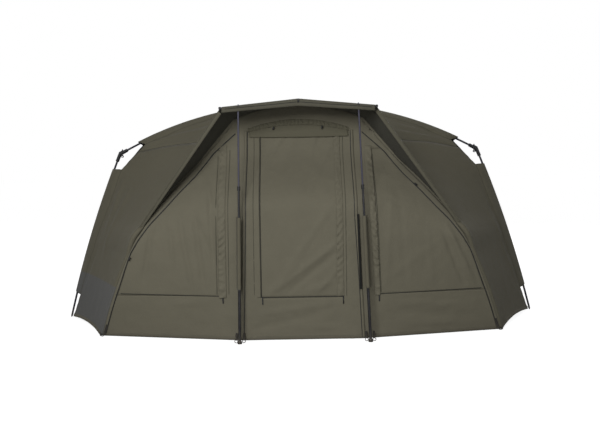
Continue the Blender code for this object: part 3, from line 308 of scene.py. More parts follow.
def buildScuffs():
    # light rub marks and specks on metal and moulded parts
    tree, given, made = shaderGroup(
        "rubMarks", {"Place": None, "Colour": plainColour, "Worn": (0.3, 0.3, 0.3), "Amount": 0.3},
        ["Colour", "Mask"])
    long = noiseNode(tree, given["Place"], 40.0, 5.0, 0.7, (6.0, 6.0, 0.6))
    specks = noiseNode(tree, given["Place"], 300.0, 2.0)
    worn = rampNode(tree, mathNode(tree, "MULTIPLY_ADD", specks, 0.12, long), 0.58, 0.80)
    mask = mathNode(tree, "MULTIPLY", worn, given["Amount"])
    fill(tree, made, {"Colour": mixColours(tree, "MIX", mask, given["Colour"], given["Worn"]), "Mask": mask})
    return tree


effects = {
    "weave": buildWeave(), "mottle": buildMottle(), "dust": buildGroundDust(),
    "crinkle": buildCrinkle(), "stitches": buildStitches(), "scuffs": buildScuffs(),
}
print("shader effects built")


def placeEffect(tree, effect, values):
    node = addNode(tree, "Group")
    node.node_tree = effects[effect]
    return fill(tree, node, values).outputs


def startMaterial(name):
    material = bpy.data.materials.new(name)
    material.use_nodes = True
    return material, material.node_tree, material.node_tree.nodes["Principled BSDF"]


def objectPlace(tree):
    return addNode(tree, "TexCoord").outputs["Object"]


def layMap(tree):
    node = addNode(tree, "UVMap")
    node.uv_map = "lay"
    return node.outputs["UV"]


def bumpOf(tree, height, strength, distance):
    return addNode(tree, "Bump", {"Height": height, "Strength": strength,
                                  "Distance": distance}).outputs["Normal"]


def clothMaterial(name, colour, rough=0.82, crinkle=0.5, sheen=0.04, coatedBandAndSheen=0.0):
    material, tree, shader = startMaterial(name)
    place = objectPlace(tree)
    weave = placeEffect(tree, "weave", {"Threads": 900.0, "Lay": layMap(tree)})
    mottled = placeEffect(tree, "mottle", {"Colour": colour, "Amount": 0.14, "Place": place})
    dusted = placeEffect(tree, "dust", {"Amount": 0.15, "Place": place, "Colour": mottled["Colour"]})
    seen = mixColours(tree, "MULTIPLY", 1.0, dusted["Colour"], greyOf(tree, weave["Shade"]))
    if coatedBandAndSheen > 0.0:
        # a coated band of greyer cloth along the ground, fading out towards the right: the grey is partly
        # painted sheen, kept to the left where the key light falls
        axes = axesOf(tree, place)
        masks = [rampNode(tree, axes[axis], start, end, 1.0, 0.0)
                 for axis, start, end in (("Z", 0.352, 0.360), ("X", -0.3, 0.5))]
        mask = mathNode(tree, "MULTIPLY", mathNode(tree, "MULTIPLY", *masks), coatedBandAndSheen)
        seen = mixColours(tree, "MIX", mask, seen, (0.094, 0.096, 0.098))
    creases = placeEffect(tree, "crinkle", {"Size": 8.0, "Place": place})
    height = mathNode(tree, "MULTIPLY_ADD", weave["Height"], 0.03,
                      mathNode(tree, "MULTIPLY", creases["Height"], crinkle))
    fill(tree, shader, {
        "Base Color": seen, "Sheen Weight": sheen, "Sheen Roughness": 0.45, "Specular IOR Level": 0.13,
        "Roughness": mathNode(tree, "MULTIPLY_ADD", mottled["Mask"], 0.12, rough - 0.06),
        "Normal": bumpOf(tree, height, 0.8, 0.009)})
    return material


def tapeMaterial(name, colour, thread, half):
    material, tree, shader = startMaterial(name)
    place, lay = objectPlace(tree), layMap(tree)
    rows = placeEffect(tree, "stitches", {"Half": half, "Lay": lay})
    weave = placeEffect(tree, "weave", {"Threads": 700.0, "Lay": lay})
    mottled = placeEffect(tree, "mottle", {"Colour": colour, "Amount": 0.2, "Place": place})
    sewn = mixColours(tree, "MIX", rows["Mask"], mottled["Colour"], thread)
    dusted = placeEffect(tree, "dust", {"Amount": 0.25, "Place": place, "Colour": sewn})
    height = mathNode(tree, "MULTIPLY_ADD", weave["Height"], 0.3, rows["Height"])
    fill(tree, shader, {"Base Color": dusted["Colour"], "Roughness": 0.7, "Specular IOR Level": 0.15,
                        "Normal": bumpOf(tree, height, 0.6, 0.0006)})
    return material


def hardMaterial(name, colour, worn, rough, metallic=0.0, amount=0.3, coat=0.0):
    material, tree, shader = startMaterial(name)
    place = objectPlace(tree)
    marks = placeEffect(tree, "scuffs", {"Colour": colour, "Worn": worn, "Amount": amount, "Place": place})
    dusted = placeEffect(tree, "dust", {"Rise": 0.09, "Amount": 0.35, "Place": place,
                                        "Colour": marks["Colour"]})
    fine = noiseNode(tree, place, 220.0, 3.0)
    fill(tree, shader, {
        "Base Color": dusted["Colour"], "Metallic": metallic, "Specular IOR Level": 0.3,
        "Roughness": mathNode(tree, "MULTIPLY_ADD", fine, 0.18, rough - 0.09), "Coat Weight": coat,
        "Coat Roughness": 0.35, "Normal": bumpOf(tree, fine, 0.25, 0.0004)})
    return material


materials = {
    # the canopy's low band: coated cloth, and partly painted sheen on the left
    "canopy": clothMaterial("canopyOlive", (0.104, 0.0965, 0.069), coatedBandAndSheen=0.75),
    "panel": clothMaterial("panelOlive", (0.128, 0.119, 0.087), crinkle=0.65),
    # the brow lip: the hood's cloth, coloured darker as painted shade under the brow
    "brow": clothMaterial("browLipPaintedShade", (0.078, 0.074, 0.055)),
    # the valance: the panel's cloth, coloured darker as painted shade of the hood above it
    "valance": clothMaterial("valancePaintedShade", (0.096, 0.090, 0.063)),
    # the inner side of every cloth: a coated lining, coloured darker still as painted shade for the inside of
    # the hood
    "liningAndShade": clothMaterial("hoodLiningAndShade", (0.068, 0.066, 0.053), rough=0.75, crinkle=0.4, sheen=0.02),
    "band": tapeMaterial("sewnBand", (0.086, 0.081, 0.058), (0.06, 0.057, 0.042), 0.0095),
    "seam": tapeMaterial("seamTape", (0.070, 0.066, 0.048), (0.05, 0.048, 0.036), 0.0022),
    "zipTape": tapeMaterial("zipTape", (0.030, 0.029, 0.024), (0.010, 0.010, 0.010), 0.0045),
    "webbing": tapeMaterial("blackWebbing", (0.016, 0.016, 0.016), (0.03, 0.03, 0.03), 0.007),
    "piping": hardMaterial("darkPiping", (0.018, 0.018, 0.016), (0.04, 0.04, 0.036), 0.6),
    # near-black strips beside the storm poles' sleeves: painted shadow of the gap behind each sleeve
    "slotShadow": hardMaterial("slotPaintedShadow", (0.006, 0.006, 0.005), (0.012, 0.012, 0.010), 0.9, amount=0.2),
    "ribTube": hardMaterial("ribAlloyDark", (0.026, 0.026, 0.034), (0.16, 0.16, 0.18), 0.42, 0.4, 0.2, 0.1),
    "stormTube": hardMaterial("stormAlloyGrey", (0.038, 0.037, 0.056), (0.16, 0.16, 0.18),
                              0.45, 0.3, 0.2, 0.05),
    "stormLower": hardMaterial("stormAlloyBlack", (0.020, 0.020, 0.022), (0.18, 0.18, 0.19),
                               0.4, 0.6, 0.3, 0.1),
    "moulded": hardMaterial("mouldedBlack", (0.009, 0.009, 0.010), (0.045, 0.045, 0.045), 0.55, amount=0.25),
    "pinSteel": hardMaterial("pinSteel", (0.42, 0.42, 0.43), (0.6, 0.6, 0.6), 0.3, 1.0),
}
print("materials built,", len(materials))


def gridOf(downs, overs, pointAt):
    # a grid of points from a function of two shares, given as lists or as numbers of steps
    down, over = (np.arange(value + 1) / value if isinstance(value, int) else value
                  for value in (downs, overs))
    return np.array([[pointAt(first, second) for second in over] for first in down])


def outwardNormals(grid, centre):
    normals = unit(np.cross(np.gradient(grid, axis=1), np.gradient(grid, axis=0)))
    return normals if np.sum((grid - np.array(centre)) * normals) > 0 else -normals


def runAlong(points, axis=0):
    # how far each point lies along its line, in metres
    steps = np.linalg.norm(np.diff(points, axis=axis), axis=-1)
    return np.concatenate([np.zeros_like(steps.take([0], axis)), np.cumsum(steps, axis=axis)], axis=axis)


def layOf(grid):
    # the flat lay of a grid in metres: across from its middle column, down from its first row
    over = runAlong(grid, 1)
    over -= over[:, over.shape[1] // 2][:, None]
    return np.stack([over, runAlong(grid, 0)], axis=2)


def addQuads(bm, uv, grid, lay, skips=None):
    verts = [[bm.verts.new(spot) for spot in row] for row in grid]
    for row, column in np.ndindex(len(grid) - 1, grid.shape[1] - 1):
        if skips and skips(row, column):
            continue
        spots = ((row, column), (row, column + 1), (row + 1, column + 1), (row + 1, column))
        face = bm.faces.new([verts[a][b] for a, b in spots])
        face.smooth = True
        for loop, spot in zip(face.loops, spots):
            loop[uv].uv = lay[spot]


def addObject(name, data):
    made = bpy.data.objects.new(name, data)
    bpy.context.scene.collection.objects.link(made)
    return made


def meshObject(name, bm):
    mesh = bpy.data.meshes.new(name)
    bm.to_mesh(mesh)
    bm.free()
    return addObject(name, mesh)


def dressed(made, slot, body, *looks):
    for look in looks:
        made.data.materials.append(materials[look])
    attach(made, body)
    return made


# the inner side takes the lining by default, whose darker colour is partly painted shade
def clothPiece(name, grids, outward, outer, inner="liningAndShade", thickness=0.0013, skips=None):
    # one sheet from several grids, welded where they meet, facing away from outward's point
    weld, layApart = 0.0002, 3.0
    bm = bmesh.new()
    uv = bm.loops.layers.uv.new("lay")
    for number, grid in enumerate(grids):
        addQuads(bm, uv, grid, layOf(grid) + (layApart * number, 0.0),
                 lambda row, column: skips and skips(number, row, column))
    bmesh.ops.delete(bm, geom=[vert for vert in bm.verts if not vert.link_faces], context="VERTS")
    bmesh.ops.remove_doubles(bm, verts=bm.verts, dist=weld)
    bmesh.ops.delete(bm, geom=[face for face in bm.faces if face.calc_area() < 1e-10], context="FACES")
    bmesh.ops.recalc_face_normals(bm, faces=bm.faces)
    votes = sum((face.calc_center_median() - Vector(outward)).dot(face.normal) * face.calc_area()
                for face in bm.faces)
    if votes < 0:
        bmesh.ops.reverse_faces(bm, faces=bm.faces)
    made = meshObject(name, bm)
    step = made.modifiers.new("thickness", "SOLIDIFY")
    step.thickness = thickness
    step.offset = -1.0
    step.material_offset = 1
    return dressed(made, "fabric", "canopy_frame", outer, inner)


# a tape's cross-section: share of its width, share of its rise
tapeSection = np.array([(-0.5, 0.0), (-0.42, 1.0), (0.0, 1.08), (0.42, 1.0), (0.5, 0.0)])


def tapePiece(name, lines, look, width, rise):
    # flat tapes of one kind, each along a line of points and normals, in one mesh
    bm = bmesh.new()
    uv = bm.loops.layers.uv.new("lay")
    for points, normals in lines:
        points, normals = np.array(points), np.array(normals)
        side = unit(np.cross(np.gradient(points, axis=0), normals))
        grid = np.stack([points + side * width * reach + normals * (rise * height)
                         for reach, height in tapeSection], axis=1)
        along = runAlong(grid[:, 2])
        addQuads(bm, uv, grid, np.stack(np.broadcast_arrays(along[:, None], tapeSection[:, 0] * width), 2))
    return dressed(meshObject(name, bm), "fabric", "canopy_frame", look)


def tubePiece(name, lines, radius, body="canopy_frame", count=8):
    # round cords along lines of points, capped, in one mesh
    bm = bmesh.new()
    wheel = [(cos(2 * pi * k / count), sin(2 * pi * k / count)) for k in range(count)]
    for line in lines:
        points = [Vector(point) for point in line]
        rings, side = [], None
        for before, point, after in zip(points[:1] + points, points, points[1:] + points[-1:]):
            along = (after - before).normalized()
            side = side if side is not None else along.orthogonal().normalized()
            side = (side - along * side.dot(along)).normalized()
            other = along.cross(side)
            rings.append([bm.verts.new(point + (side * a + other * b) * radius) for a, b in wheel])
        for first, second in zip(rings, rings[1:]):
            for k in range(count):
                bm.faces.new((first[k - 1], first[k], second[k], second[k - 1])).smooth = True
        bm.faces.new(rings[0])
        bm.faces.new(rings[-1])
    bmesh.ops.recalc_face_normals(bm, faces=bm.faces)
    return dressed(meshObject(name, bm), "plastic", body, "moulded")


def creaseDepth(creases, x, z):
    # soft folds along straight lines: (x, z) to (x, z), half width, depth towards the viewer
    total = 0.0
    for startX, startZ, endX, endZ, width, depth in creases:
        runX, runZ = endX - startX, endZ - startZ
        length = hypot(runX, runZ)
        share = ((x - startX) * runX + (z - startZ) * runZ) / length ** 2
        across = ((x - startX) * runZ - (z - startZ) * runX) / length
        fade = smoothStep(share, -0.15, 0.2) * (1 - smoothStep(share, 0.8, 1.15))
        total += depth * fade * bell(across / width)
    return total


# the front panel is one surface whose depth follows from x and height
hood = {
    "rows": 60, "columns": 22, "endHeight": 0.735, "browHalf": 0.505, "cornerHeight": 1.527,
    "apexHeight": 1.573, "overBar": 0.002, "sag": 0.010, "swell": 0.0035, "swellSize": 0.3,
    "swellFade": 0.2, "overRoof": 0.0006, "endForward": 0.0014, "hemBack": 0.006, "hemThick": 0.0015,
    "hemWidth": 0.028, "edgeBack": 0.0106, "facing": 0.026, "facingEnd": 0.35, "flat": (2.95, 1.05),
}
panel = {
    "footDepth": 0.024, "leanStart": 0.860, "leanEnd": 1.300, "topDepth": 0.300,
    "stripStandoff": 0.0156, "edgeBack": 0.010, "stripAbove": 0.052, "stripBelow": 0.022,
    "zipHeight": 0.296, "doorHalf": 0.262, "doorTop": 1.372, "doorBottom": 0.288,
    "windowInner": 0.500, "windowTop": 1.255, "under": 0.006, "behind": 0.0022,
    "stormTip": 0.386, "stormFoot": 0.405, "leastRun": 0.013, "overRun": 1.2, "creaseScale": 1.9,
    "broadSwell": 0.0032, "broadSize": 0.24, "smallSwell": 0.0012, "smallSize": 0.07, "edgeFade": 0.03,
    "flat": (2.76, 1.52), "windowFlat": (0.75, 0.98), "doorFlat": (0.56, 1.17),
}
# cloth that lies over the panel comes no closer to it than this
leastLift = 0.0012
tableHeights = np.linspace(0.0, 1.60, 321)
ribTable = np.array([ribAt("front", height, 0.0) for height in tableHeights])
behindPanel = (0.0, browY + 0.6, 0.6)


def browTop(out):
    # height of the brow's edge at an x
    return mixed(hood["apexHeight"], hood["cornerHeight"], abs(out) / hood["browHalf"])


def stormDepth(height):
    lean = smoothStep(height, panel["leanStart"], panel["leanEnd"])
    return browY + mixed(panel["footDepth"], panel["topDepth"], lean)


def ribFront(height):
    x, y = (float(np.interp(height, tableHeights, ribTable[:, axis])) for axis in (0, 1))
    return x, min(y - panel["stripStandoff"], browY + panel["topDepth"])


def panelDepth(out, height):
    out = abs(out)
    share = clamped(height / browTop(panel["stormTip"]))
    inner = mixed(panel["stormFoot"], panel["stormTip"], share)
    near = stormDepth(height)
    ribX, ribY = ribFront(height)
    if out <= inner or ribX - inner < panel["leastRun"]:
        return near
    return mixed(near, ribY, min((out - inner) / (ribX - inner), panel["overRun"]))


def panelPoint(out, height, forward=0.0):
    return np.array([out, panelDepth(out, height) - forward, height])


def stripOuter(height):
    return ribFront(height)[0] - panel["edgeBack"]


def stripInner(height):
    knee = ribPlan["front"]["kneeHeight"]
    share = smoothStep(height, knee - panel["stripAbove"], knee + panel["stripAbove"] * 3)
    return stripOuter(height) - mixed(panel["stripBelow"], panel["stripAbove"], share)


# the canopy: five gores from the hub to the ground, split where the legs fold
canopy = {
    "roofRows": 26, "wallRows": 54, "splitFront": 1.335, "columnWidth": 0.034,
    "nearShares": [0.0, 0.1, 0.25, 0.45, 0.62, 0.82, 1.0, 1.1, 1.45],
    "frontSeam": 0.10, "seamShare": 0.28, "hoodSeamEnd": 0.76, "hoodSeamLift": 0.0012,
    "seamHeights": [0.0, 0.22, 0.57, 0.88, 1.126, 1.273, 1.60],
    "seamReach": [0.078, 0.114, 0.145, 0.135, 0.100, 0.133, 0.150],
    "sleeveTop": 1.334, "sleeveLow": 1.130, "footSleeve": 0.200,
    "squareTop": 0.062, "squareLow": 0.010, "squareFoot": 0.012, "squareRows": 2.2,
    "bandRise": 0.003, "bandEdge": (0.93, 1.03), "seamDip": 0.0045, "dipPlace": 1.07, "dipWidth": 0.12,
    "bandFade": 0.02, "ribFade": 0.10, "spanFade": 0.4, "pullReach": 0.20,
    "broadSwell": 0.0045, "broadSize": 0.42, "smallSwell": 0.0018, "smallSize": 0.11,
    "pucker": 0.0012, "puckerEvery": 0.043, "puckerReach": 0.040, "creaseScale": 2.1,
    "seamWidth": 0.006, "seamRise": 0.0009, "hemWidth": 0.022, "hemThick": 0.0014,
    "squashHeight": 1.30, "squashKeep": 0.16,
    "roofFlat": (2.75, 2.30), "wallFlat": (6.90, 1.40),
}
# cloth round the front ribs' legs, with room for each knuckle's latch to lift
legWrap = {"topHeight": 0.775, "columns": 8, "pucker": 0.0015, "latchHeight": 0.718, "latchSpread": 0.05,
           "latchRoom": 0.014, "latchArch": 3.2}
goreList = [("front", "side", -1, -1), ("side", "rear", -1, -1), ("rear", "rear", -1, 1),
            ("rear", "side", 1, 1), ("side", "front", 1, 1)]
# soft folds beside the side ribs: (distance from the rib, height) to the same, half width, depth
goreCreases = {
    0: [(0.15, 1.06, 0.20, 0.62, 0.016, -0.006), (0.19, 1.02, 0.31, 0.66, 0.024, 0.005),
        (0.23, 0.56, 0.16, 0.26, 0.022, -0.005), (0.35, 0.98, 0.42, 0.52, 0.030, 0.004),
        (0.15, 1.33, 0.46, 1.42, 0.018, 0.005), (0.10, 1.36, 0.40, 1.50, 0.022, -0.004)],
    1: [(0.20, 1.05, 0.26, 0.50, 0.024, 0.005), (0.45, 1.00, 0.50, 0.40, 0.035, -0.005)],
    2: [(0.30, 1.10, 0.36, 0.45, 0.030, 0.005), (0.75, 1.08, 0.80, 0.40, 0.040, -0.006),
        (1.20, 1.10, 1.16, 0.50, 0.030, 0.005)],
    3: [(0.30, 1.00, 0.36, 0.45, 0.030, 0.005), (0.70, 1.05, 0.66, 0.50, 0.030, -0.005)],
    4: [(0.15, 1.00, 0.21, 0.40, 0.018, -0.005), (0.27, 0.78, 0.20, 0.28, 0.024, 0.004),
        (0.16, 1.32, 0.40, 1.40, 0.014, -0.005), (0.09, 1.34, 0.16, 1.44, 0.010, 0.004),
        (0.12, 1.35, 0.24, 1.45, 0.012, -0.004), (0.18, 1.31, 0.52, 1.36, 0.016, 0.005)],
}
seamColumn = footColumn = 6


def rowLevels():
    # each row as (share down the upper rib to the split, or a height below it); rows stand at the
    # ends of the sleeves
    heights = list(np.linspace(tent["splitHeight"], tent["hemHeight"], canopy["wallRows"]))[1:]
    for cut in (canopy["sleeveLow"], canopy["footSleeve"]):
        heights[min(range(len(heights)), key=lambda k: abs(heights[k] - cut))] = cut
    shares = np.linspace(0.035, 1.0, canopy["roofRows"])
    return [(share, None) for share in shares] + [(None, height) for height in heights]


levels = rowLevels()
splitRow = canopy["roofRows"] - 1
splitHeights = {"front": canopy["splitFront"], "side": tent["splitHeight"], "rear": tent["splitHeight"]}
splitShares = {name: shareAt(name, splitHeights[name], tent["roofLift"]) for name in ribPlan}
sleeveShare = shareAt("side", canopy["sleeveTop"], tent["roofLift"]) / splitShares["side"]
topRow = min(range(canopy["roofRows"]), key=lambda k: abs(levels[k][0] - sleeveShare))
levels[topRow] = (sleeveShare, None)
lowRow, footRow = ([level[1] for level in levels].index(canopy[cut]) for cut in ("sleeveLow", "footSleeve"))


def edgePoint(name, level):
    share, height = level
    if share is not None:
        share *= splitShares[name]
        point = upperAt(name, share, tent["roofLift"])
        return upperAt(name, share, liftAt(name, point[2]))
    low = tent["hemHeight"]
    height = low + (height - low) * (splitHeights[name] - low) / (tent["splitHeight"] - low)
    return ribAt(name, height, liftAt(name, height))


def seamAt(name, height, span):
    # how far the sleeve's sewn edge stands from its rib
    reach = canopy["frontSeam"]
    if name != "front":
        reach = float(np.interp(height, canopy["seamHeights"], canopy["seamReach"]))
    return min(reach, span * canopy["seamShare"])


def rowShares(first, second, firstHeight, secondHeight, span, inner):
    # columns stand closer at the ribs and follow the sewn edge of each sleeve
    near = [value * seamAt(first, firstHeight, span) / span for value in canopy["nearShares"]]
    far = [1 - value * seamAt(second, secondHeight, span) / span for value in canopy["nearShares"][::-1]]
    return near[:-1] + list(np.linspace(near[-1], far[0], inner)) + far[1:]


def squareEnd(grid, row, amount, reverse):
    # the end of a sleeve is cut square to its rib, so its row falls away from the rib
    line = grid[:, ::-1] if reverse else grid
    columns = np.arange(line.shape[1])
    ramp = np.minimum(columns / seamColumn, 1) * np.exp(-(np.maximum(columns - seamColumn, 0) / 3) ** 2)
    shifts = {}
    for near in range(max(row - 4, 1), min(row + 5, len(line) - 1)):
        fade = amount * bell((near - row) / canopy["squareRows"])
        shifts[near] = unit(line[near + 1] - line[near - 1]) * (ramp * fade)[:, None]
    for near, shift in shifts.items():
        line[near] += shift


def straightenCut(grid, reaches, reverse):
    # the cut edge beside a bare knuckle is drawn straight, and the cloth near it follows
    column = grid.shape[1] - 1 - seamColumn if reverse else seamColumn
    line = grid[topRow:lowRow + 1, column].copy()
    run = runAlong(line)
    pulls = mixed(line[0], line[-1], (run / run[-1])[:, None]) - line
    for row, pull in zip(range(topRow, lowRow + 1), pulls):
        away = reaches[row] - reaches[row, column]
        grid[row] += np.exp(-(away / canopy["pullReach"]) ** 2)[:, None] * pull


def buildGore(first, second, firstSide, secondSide):
    firstLine, secondLine = (np.array([edgePoint(name, level) for level in levels]) * (side, 1, 1)
                             for name, side in ((first, firstSide), (second, secondSide)))
    spans = np.linalg.norm(firstLine - secondLine, axis=1)
    inner = max(int(spans[splitRow] / canopy["columnWidth"]), 8) + 1
    rows, shares = [], []
    for a, b, span in zip(firstLine, secondLine, spans):
        line = np.array(rowShares(first, second, a[2], b[2], span, inner))
        points = a * (1 - line[:, None]) + b * line[:, None]
        inward = unit((np.array([0.0, hubY, 0.0]) - points) * (1, 1, 0))
        bow = 4 * line * (1 - line)
        points += inward * (tent["sag"] * bow * min(span, 1.0))[:, None]
        fall = max(0.0, (canopy["footSleeve"] - a[2]) / canopy["footSleeve"])
        points[:, 2] += tent["hemRise"] * bow * fall ** 2
        rows.append(points)
        shares.append(line)
    grid, shares = np.array(rows), np.array(shares)
    for reverse, name in enumerate((first, second)):
        if name != "front":
            for row, amount in ((topRow, "squareTop"), (lowRow, "squareLow"), (footRow, "squareFoot")):
                squareEnd(grid, row, canopy[amount], reverse)
            straightenCut(grid, shares * spans[:, None], reverse)
    return grid, shares, spans


def latchRoom(height, away=0.0):
    rise, side = (height - legWrap["latchHeight"]) / legWrap["latchSpread"], away / legWrap["latchSpread"]
    return legWrap["latchRoom"] * exp(-(rise ** 2 + side ** 2))


def goreSwell(number, grid, shares, spans):
    normals = outwardNormals(grid, (0.0, hubY, 0.5))
    made = grid.copy()
    for row, column in np.ndindex(grid.shape[:2]):
        point, span = grid[row, column], spans[row]
        reaches = (shares[row, column] * span, (1 - shares[row, column]) * span)
        reach = min(reaches)
        name = goreList[number][reaches.index(reach)]
        seam = seamAt(name, point[2], span)
        swell = canopy["broadSwell"] * rumple(point, canopy["broadSize"])
        swell += canopy["smallSwell"] * rumple(point, canopy["smallSize"], 3.1)
        turns = (point[2] * 1.4 + point[1] * 0.2) / canopy["puckerEvery"]
        wave = sin(2 * pi * turns + 3 * rumple(point, 0.2, 7.0))
        swell += canopy["pucker"] * wave * exp(-abs(reach - seam) / canopy["puckerReach"])
        sideReach = reaches[1] if number == 0 else reaches[0]
        swell += canopy["creaseScale"] * creaseDepth(goreCreases[number], sideReach, point[2])
        swell *= min(reach / canopy["ribFade"], 1.0)
        if name == "front":
            swell += latchRoom(point[2], reach)
        else:
            band = canopy["bandRise"] * (1 - smoothStep(reach / seam, *canopy["bandEdge"]))
            band -= canopy["seamDip"] * bell((reach / seam - canopy["dipPlace"]) / canopy["dipWidth"])
            swell += band * min(reach / canopy["bandFade"], 1.0) * min(span / canopy["spanFade"], 1.0)
        made[row, column] = point + normals[row, column] * swell
    return made, normals


gores = []
for number, ends in enumerate(goreList):
    grid, normals = goreSwell(number, *buildGore(*ends))
    gores.append({"first": ends[0], "second": ends[1], "grid": grid, "normals": normals})


def crownGrid(gore):
    # from the middle of the hub's cap out to the first row
    ring = gore["grid"][0]
    crown = np.array([0.0, hubY, tent["crownHeight"]])
    flat = unit((ring - crown) * (1, 1, 0))
    return np.stack([np.repeat(crown[None], len(ring), 0), crown + flat * tent["crownRadius"], ring])


def notched(gore, row, column):
    # cells left out beside a bare knuckle or a bare foot
    last = gore["grid"].shape[1] - 2
    return any(name != "front" and (topRow <= row < lowRow and place < seamColumn
                                    or row >= footRow and place < footColumn)
               for name, place in ((gore["first"], column), (gore["second"], last - column)))


def legCover(gore, side):
    # cloth that wraps from a wall's front edge round the rib to the front panel's edge
    rows = []
    for edge in gore["grid"][splitRow:, 0 if side < 0 else -1]:
        height = float(edge[2])
        if height > legWrap["topHeight"]:
            continue
        centre = ribAt("front", height, 0.0) * (side, 1, 1)
        start, finish = edge - centre, panelPoint(stripOuter(height), height) * (side, 1, 1) - centre
        reaches = np.linalg.norm(start), np.linalg.norm(finish)
        ways = start / reaches[0], finish / reaches[1]
        angle = acos(max(-1.0, min(1.0, float(np.dot(*ways)))))
        line = []
        for part in np.arange(legWrap["columns"] + 1) / legWrap["columns"]:
            way = (ways[0] * sin((1 - part) * angle) + ways[1] * sin(part * angle)) / sin(angle)
            reach = mixed(*reaches, part) + legWrap["pucker"] * sin(pi * part) * rumple(edge, 0.03, 51.0)
            reach += legWrap["latchArch"] * (1 - part) * part * latchRoom(height)
            line.append(centre + way * reach)
        rows.append(line)
    return np.array(rows)


canopyCentre = (0.0, hubY, 0.6)
roof = clothPiece(
    "canopyRoof", [crownGrid(gore) for gore in gores] + [gore["grid"][:splitRow + 1] for gore in gores],
    canopyCentre, "canopy",
    skips=lambda number, row, column: number >= 5 and notched(gores[number - 5], row, column))
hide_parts("roof")
walls = clothPiece(
    "canopyWalls",
    [gore["grid"][splitRow:] for gore in gores] + [legCover(gores[0], -1), legCover(gores[4], 1)],
    canopyCentre, "canopy",
    skips=lambda number, row, column: number < 5 and notched(gores[number], row + splitRow, column))
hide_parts("wall_front_left", "wall_rear_left", "wall_back", "wall_rear_right", "wall_front_right")
print("canopy made,", len(roof.data.polygons) + len(walls.data.polygons), "faces")


def seamLines(low, high):
    # the sewn edge of every sleeve between two rows, as points and normals
    return [(gore["grid"][low:high + 1, column], gore["normals"][low:high + 1, column]) for gore in gores
            for name, column in ((gore["first"], seamColumn), (gore["second"], -1 - seamColumn))
            if name != "front"]


def rowLines(row, leave, mix=0.0):
    # one row of every gore, less the columns that are cut away at its ends
    lines = []
    for gore in gores:
        start = leave if gore["first"] != "front" else 0
        end = gore["grid"].shape[1] - (leave if gore["second"] != "front" else 0)
        points = gore["grid"][row, start:end] * (1 - mix) + gore["grid"][row - 1, start:end] * mix
        lines.append((points, gore["normals"][row, start:end]))
    return lines


def frontSeam(side):
    # where the hood is sewn to the roof over a front rib
    points, ways = ribs["front"][0]
    last = shareAt("front", canopy["hoodSeamEnd"], tent["roofLift"]) * (len(points) - 1)
    used = slice(6, int(last))
    lifts = np.array([liftAt("front", height) + canopy["hoodSeamLift"] for height in points[used, 2]])
    return (points[used] + ways[used] * lifts[:, None]) * (side, 1, 1), ways[used] * (side, 1, 1)


roofSeams = tapePiece(
    "roofSeams", seamLines(1, topRow) + rowLines(splitRow, seamColumn) + [frontSeam(-1), frontSeam(1)],
    "seam", canopy["seamWidth"], canopy["seamRise"])
wallSeams = tapePiece("wallSeams", seamLines(lowRow, footRow), "seam", canopy["seamWidth"],
                      canopy["seamRise"])
wallHems = tapePiece("wallHems", rowLines(-1, footColumn, 0.5), "band", canopy["hemWidth"],
                     canopy["hemThick"])
for piece in (walls, wallSeams, wallHems):
    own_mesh(piece)


def hoodLift(share):
    # the hood lies over the edge of the roof and of the walls
    height = upperAt("front", share, tent["roofLift"])[2]
    return max(liftAt("front", height), tent["roofLift"]) + hood["overRoof"]


def hoodLine(share):
    # the hood's two ends at a share of its length, at the front rib and at its free edge
    last = shareAt("front", hood["endHeight"], tent["roofLift"])
    back = browY + hood["edgeBack"]
    apex = np.array([0.0, back, hood["apexHeight"] + hood["overBar"]])
    corner = np.array([hood["browHalf"], back, hood["cornerHeight"] + hood["overBar"]])
    end = upperAt("front", last, hoodLift(last)) + np.array([0.0, -hood["endForward"], 0.0])
    atRib = np.array([0.0, hubY - tent["crownRadius"], tent["crownHeight"]])
    if share > 0.0:
        atRib = upperAt("front", last * share, hoodLift(last * share))
    if share <= 1 / 3:
        return atRib, mixed(apex, corner, share * 3)
    return atRib, mixed(corner, end, (share - 1 / 3) * 1.5)


def hoodGrid(side):
    rows = []
    for share in sorted({*np.linspace(0, 1, hood["rows"] + 1), 1 / 3}):
        atRib, edge = hoodLine(share)
        length = np.linalg.norm(edge - atRib)
        line = []
        for part in np.arange(hood["columns"] + 1) / hood["columns"]:
            bow = 4 * part * (1 - part)
            point = mixed(atRib, edge, part) * (side, 1, 1)
            point[2] -= hood["sag"] * bow * min(length, 1.0)
            fade = min(bow * 2, 1.0) * min(length / hood["swellFade"], 1.0)
            point[2] += hood["swell"] * fade * rumple(point, hood["swellSize"], 5.0)
            line.append(point)
        rows.append(line)
    return np.array(rows)


hoodGrids = {side: hoodGrid(side) for side in sides.values()}
hoodCentre = (0.0, hubY - 0.4, 0.8)
hoodCloth = clothPiece("hoodCloth", list(hoodGrids.values()), hoodCentre, "canopy")
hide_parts("hood")


def hoodEdge(side, inset):
    # the free edge of the hood below the brow and the way the cloth faces there
    used = slice(hood["rows"] // 3 + 1, hood["rows"] + 1)
    grid = hoodGrids[side]
    back = unit(grid[used, -2] - grid[used, -1])
    return grid[used, -1] + back * inset, outwardNormals(grid, hoodCentre)[used, -1]


def hoodFacing(side):
    # the hem's inner half is folded to face the front
    along = np.gradient(hoodEdge(side, hood["hemWidth"] / 2)[0], axis=0)
    inward = unit(np.stack([along[:, 2] * side, np.zeros(len(along)), -along[:, 0] * side], axis=1))
    reach = hood["facing"] / 2 * np.linspace(1.0, hood["facingEnd"], len(along))[:, None]
    return (hoodEdge(side, 0.0)[0] + inward * reach + np.array([0.0, hood["hemBack"], 0.0]),
            np.tile([0.0, -1.0, 0.0], (len(along), 1)))


hoodHem = tapePiece("hoodHem", [hoodEdge(side, hood["hemWidth"] / 2) for side in sides.values()], "band",
                    hood["hemWidth"], hood["hemThick"])
hoodHemUnder = tapePiece("hoodHemUnder", [hoodFacing(side) for side in sides.values()], "band",
                         hood["facing"], hood["hemThick"])
print("hood made")

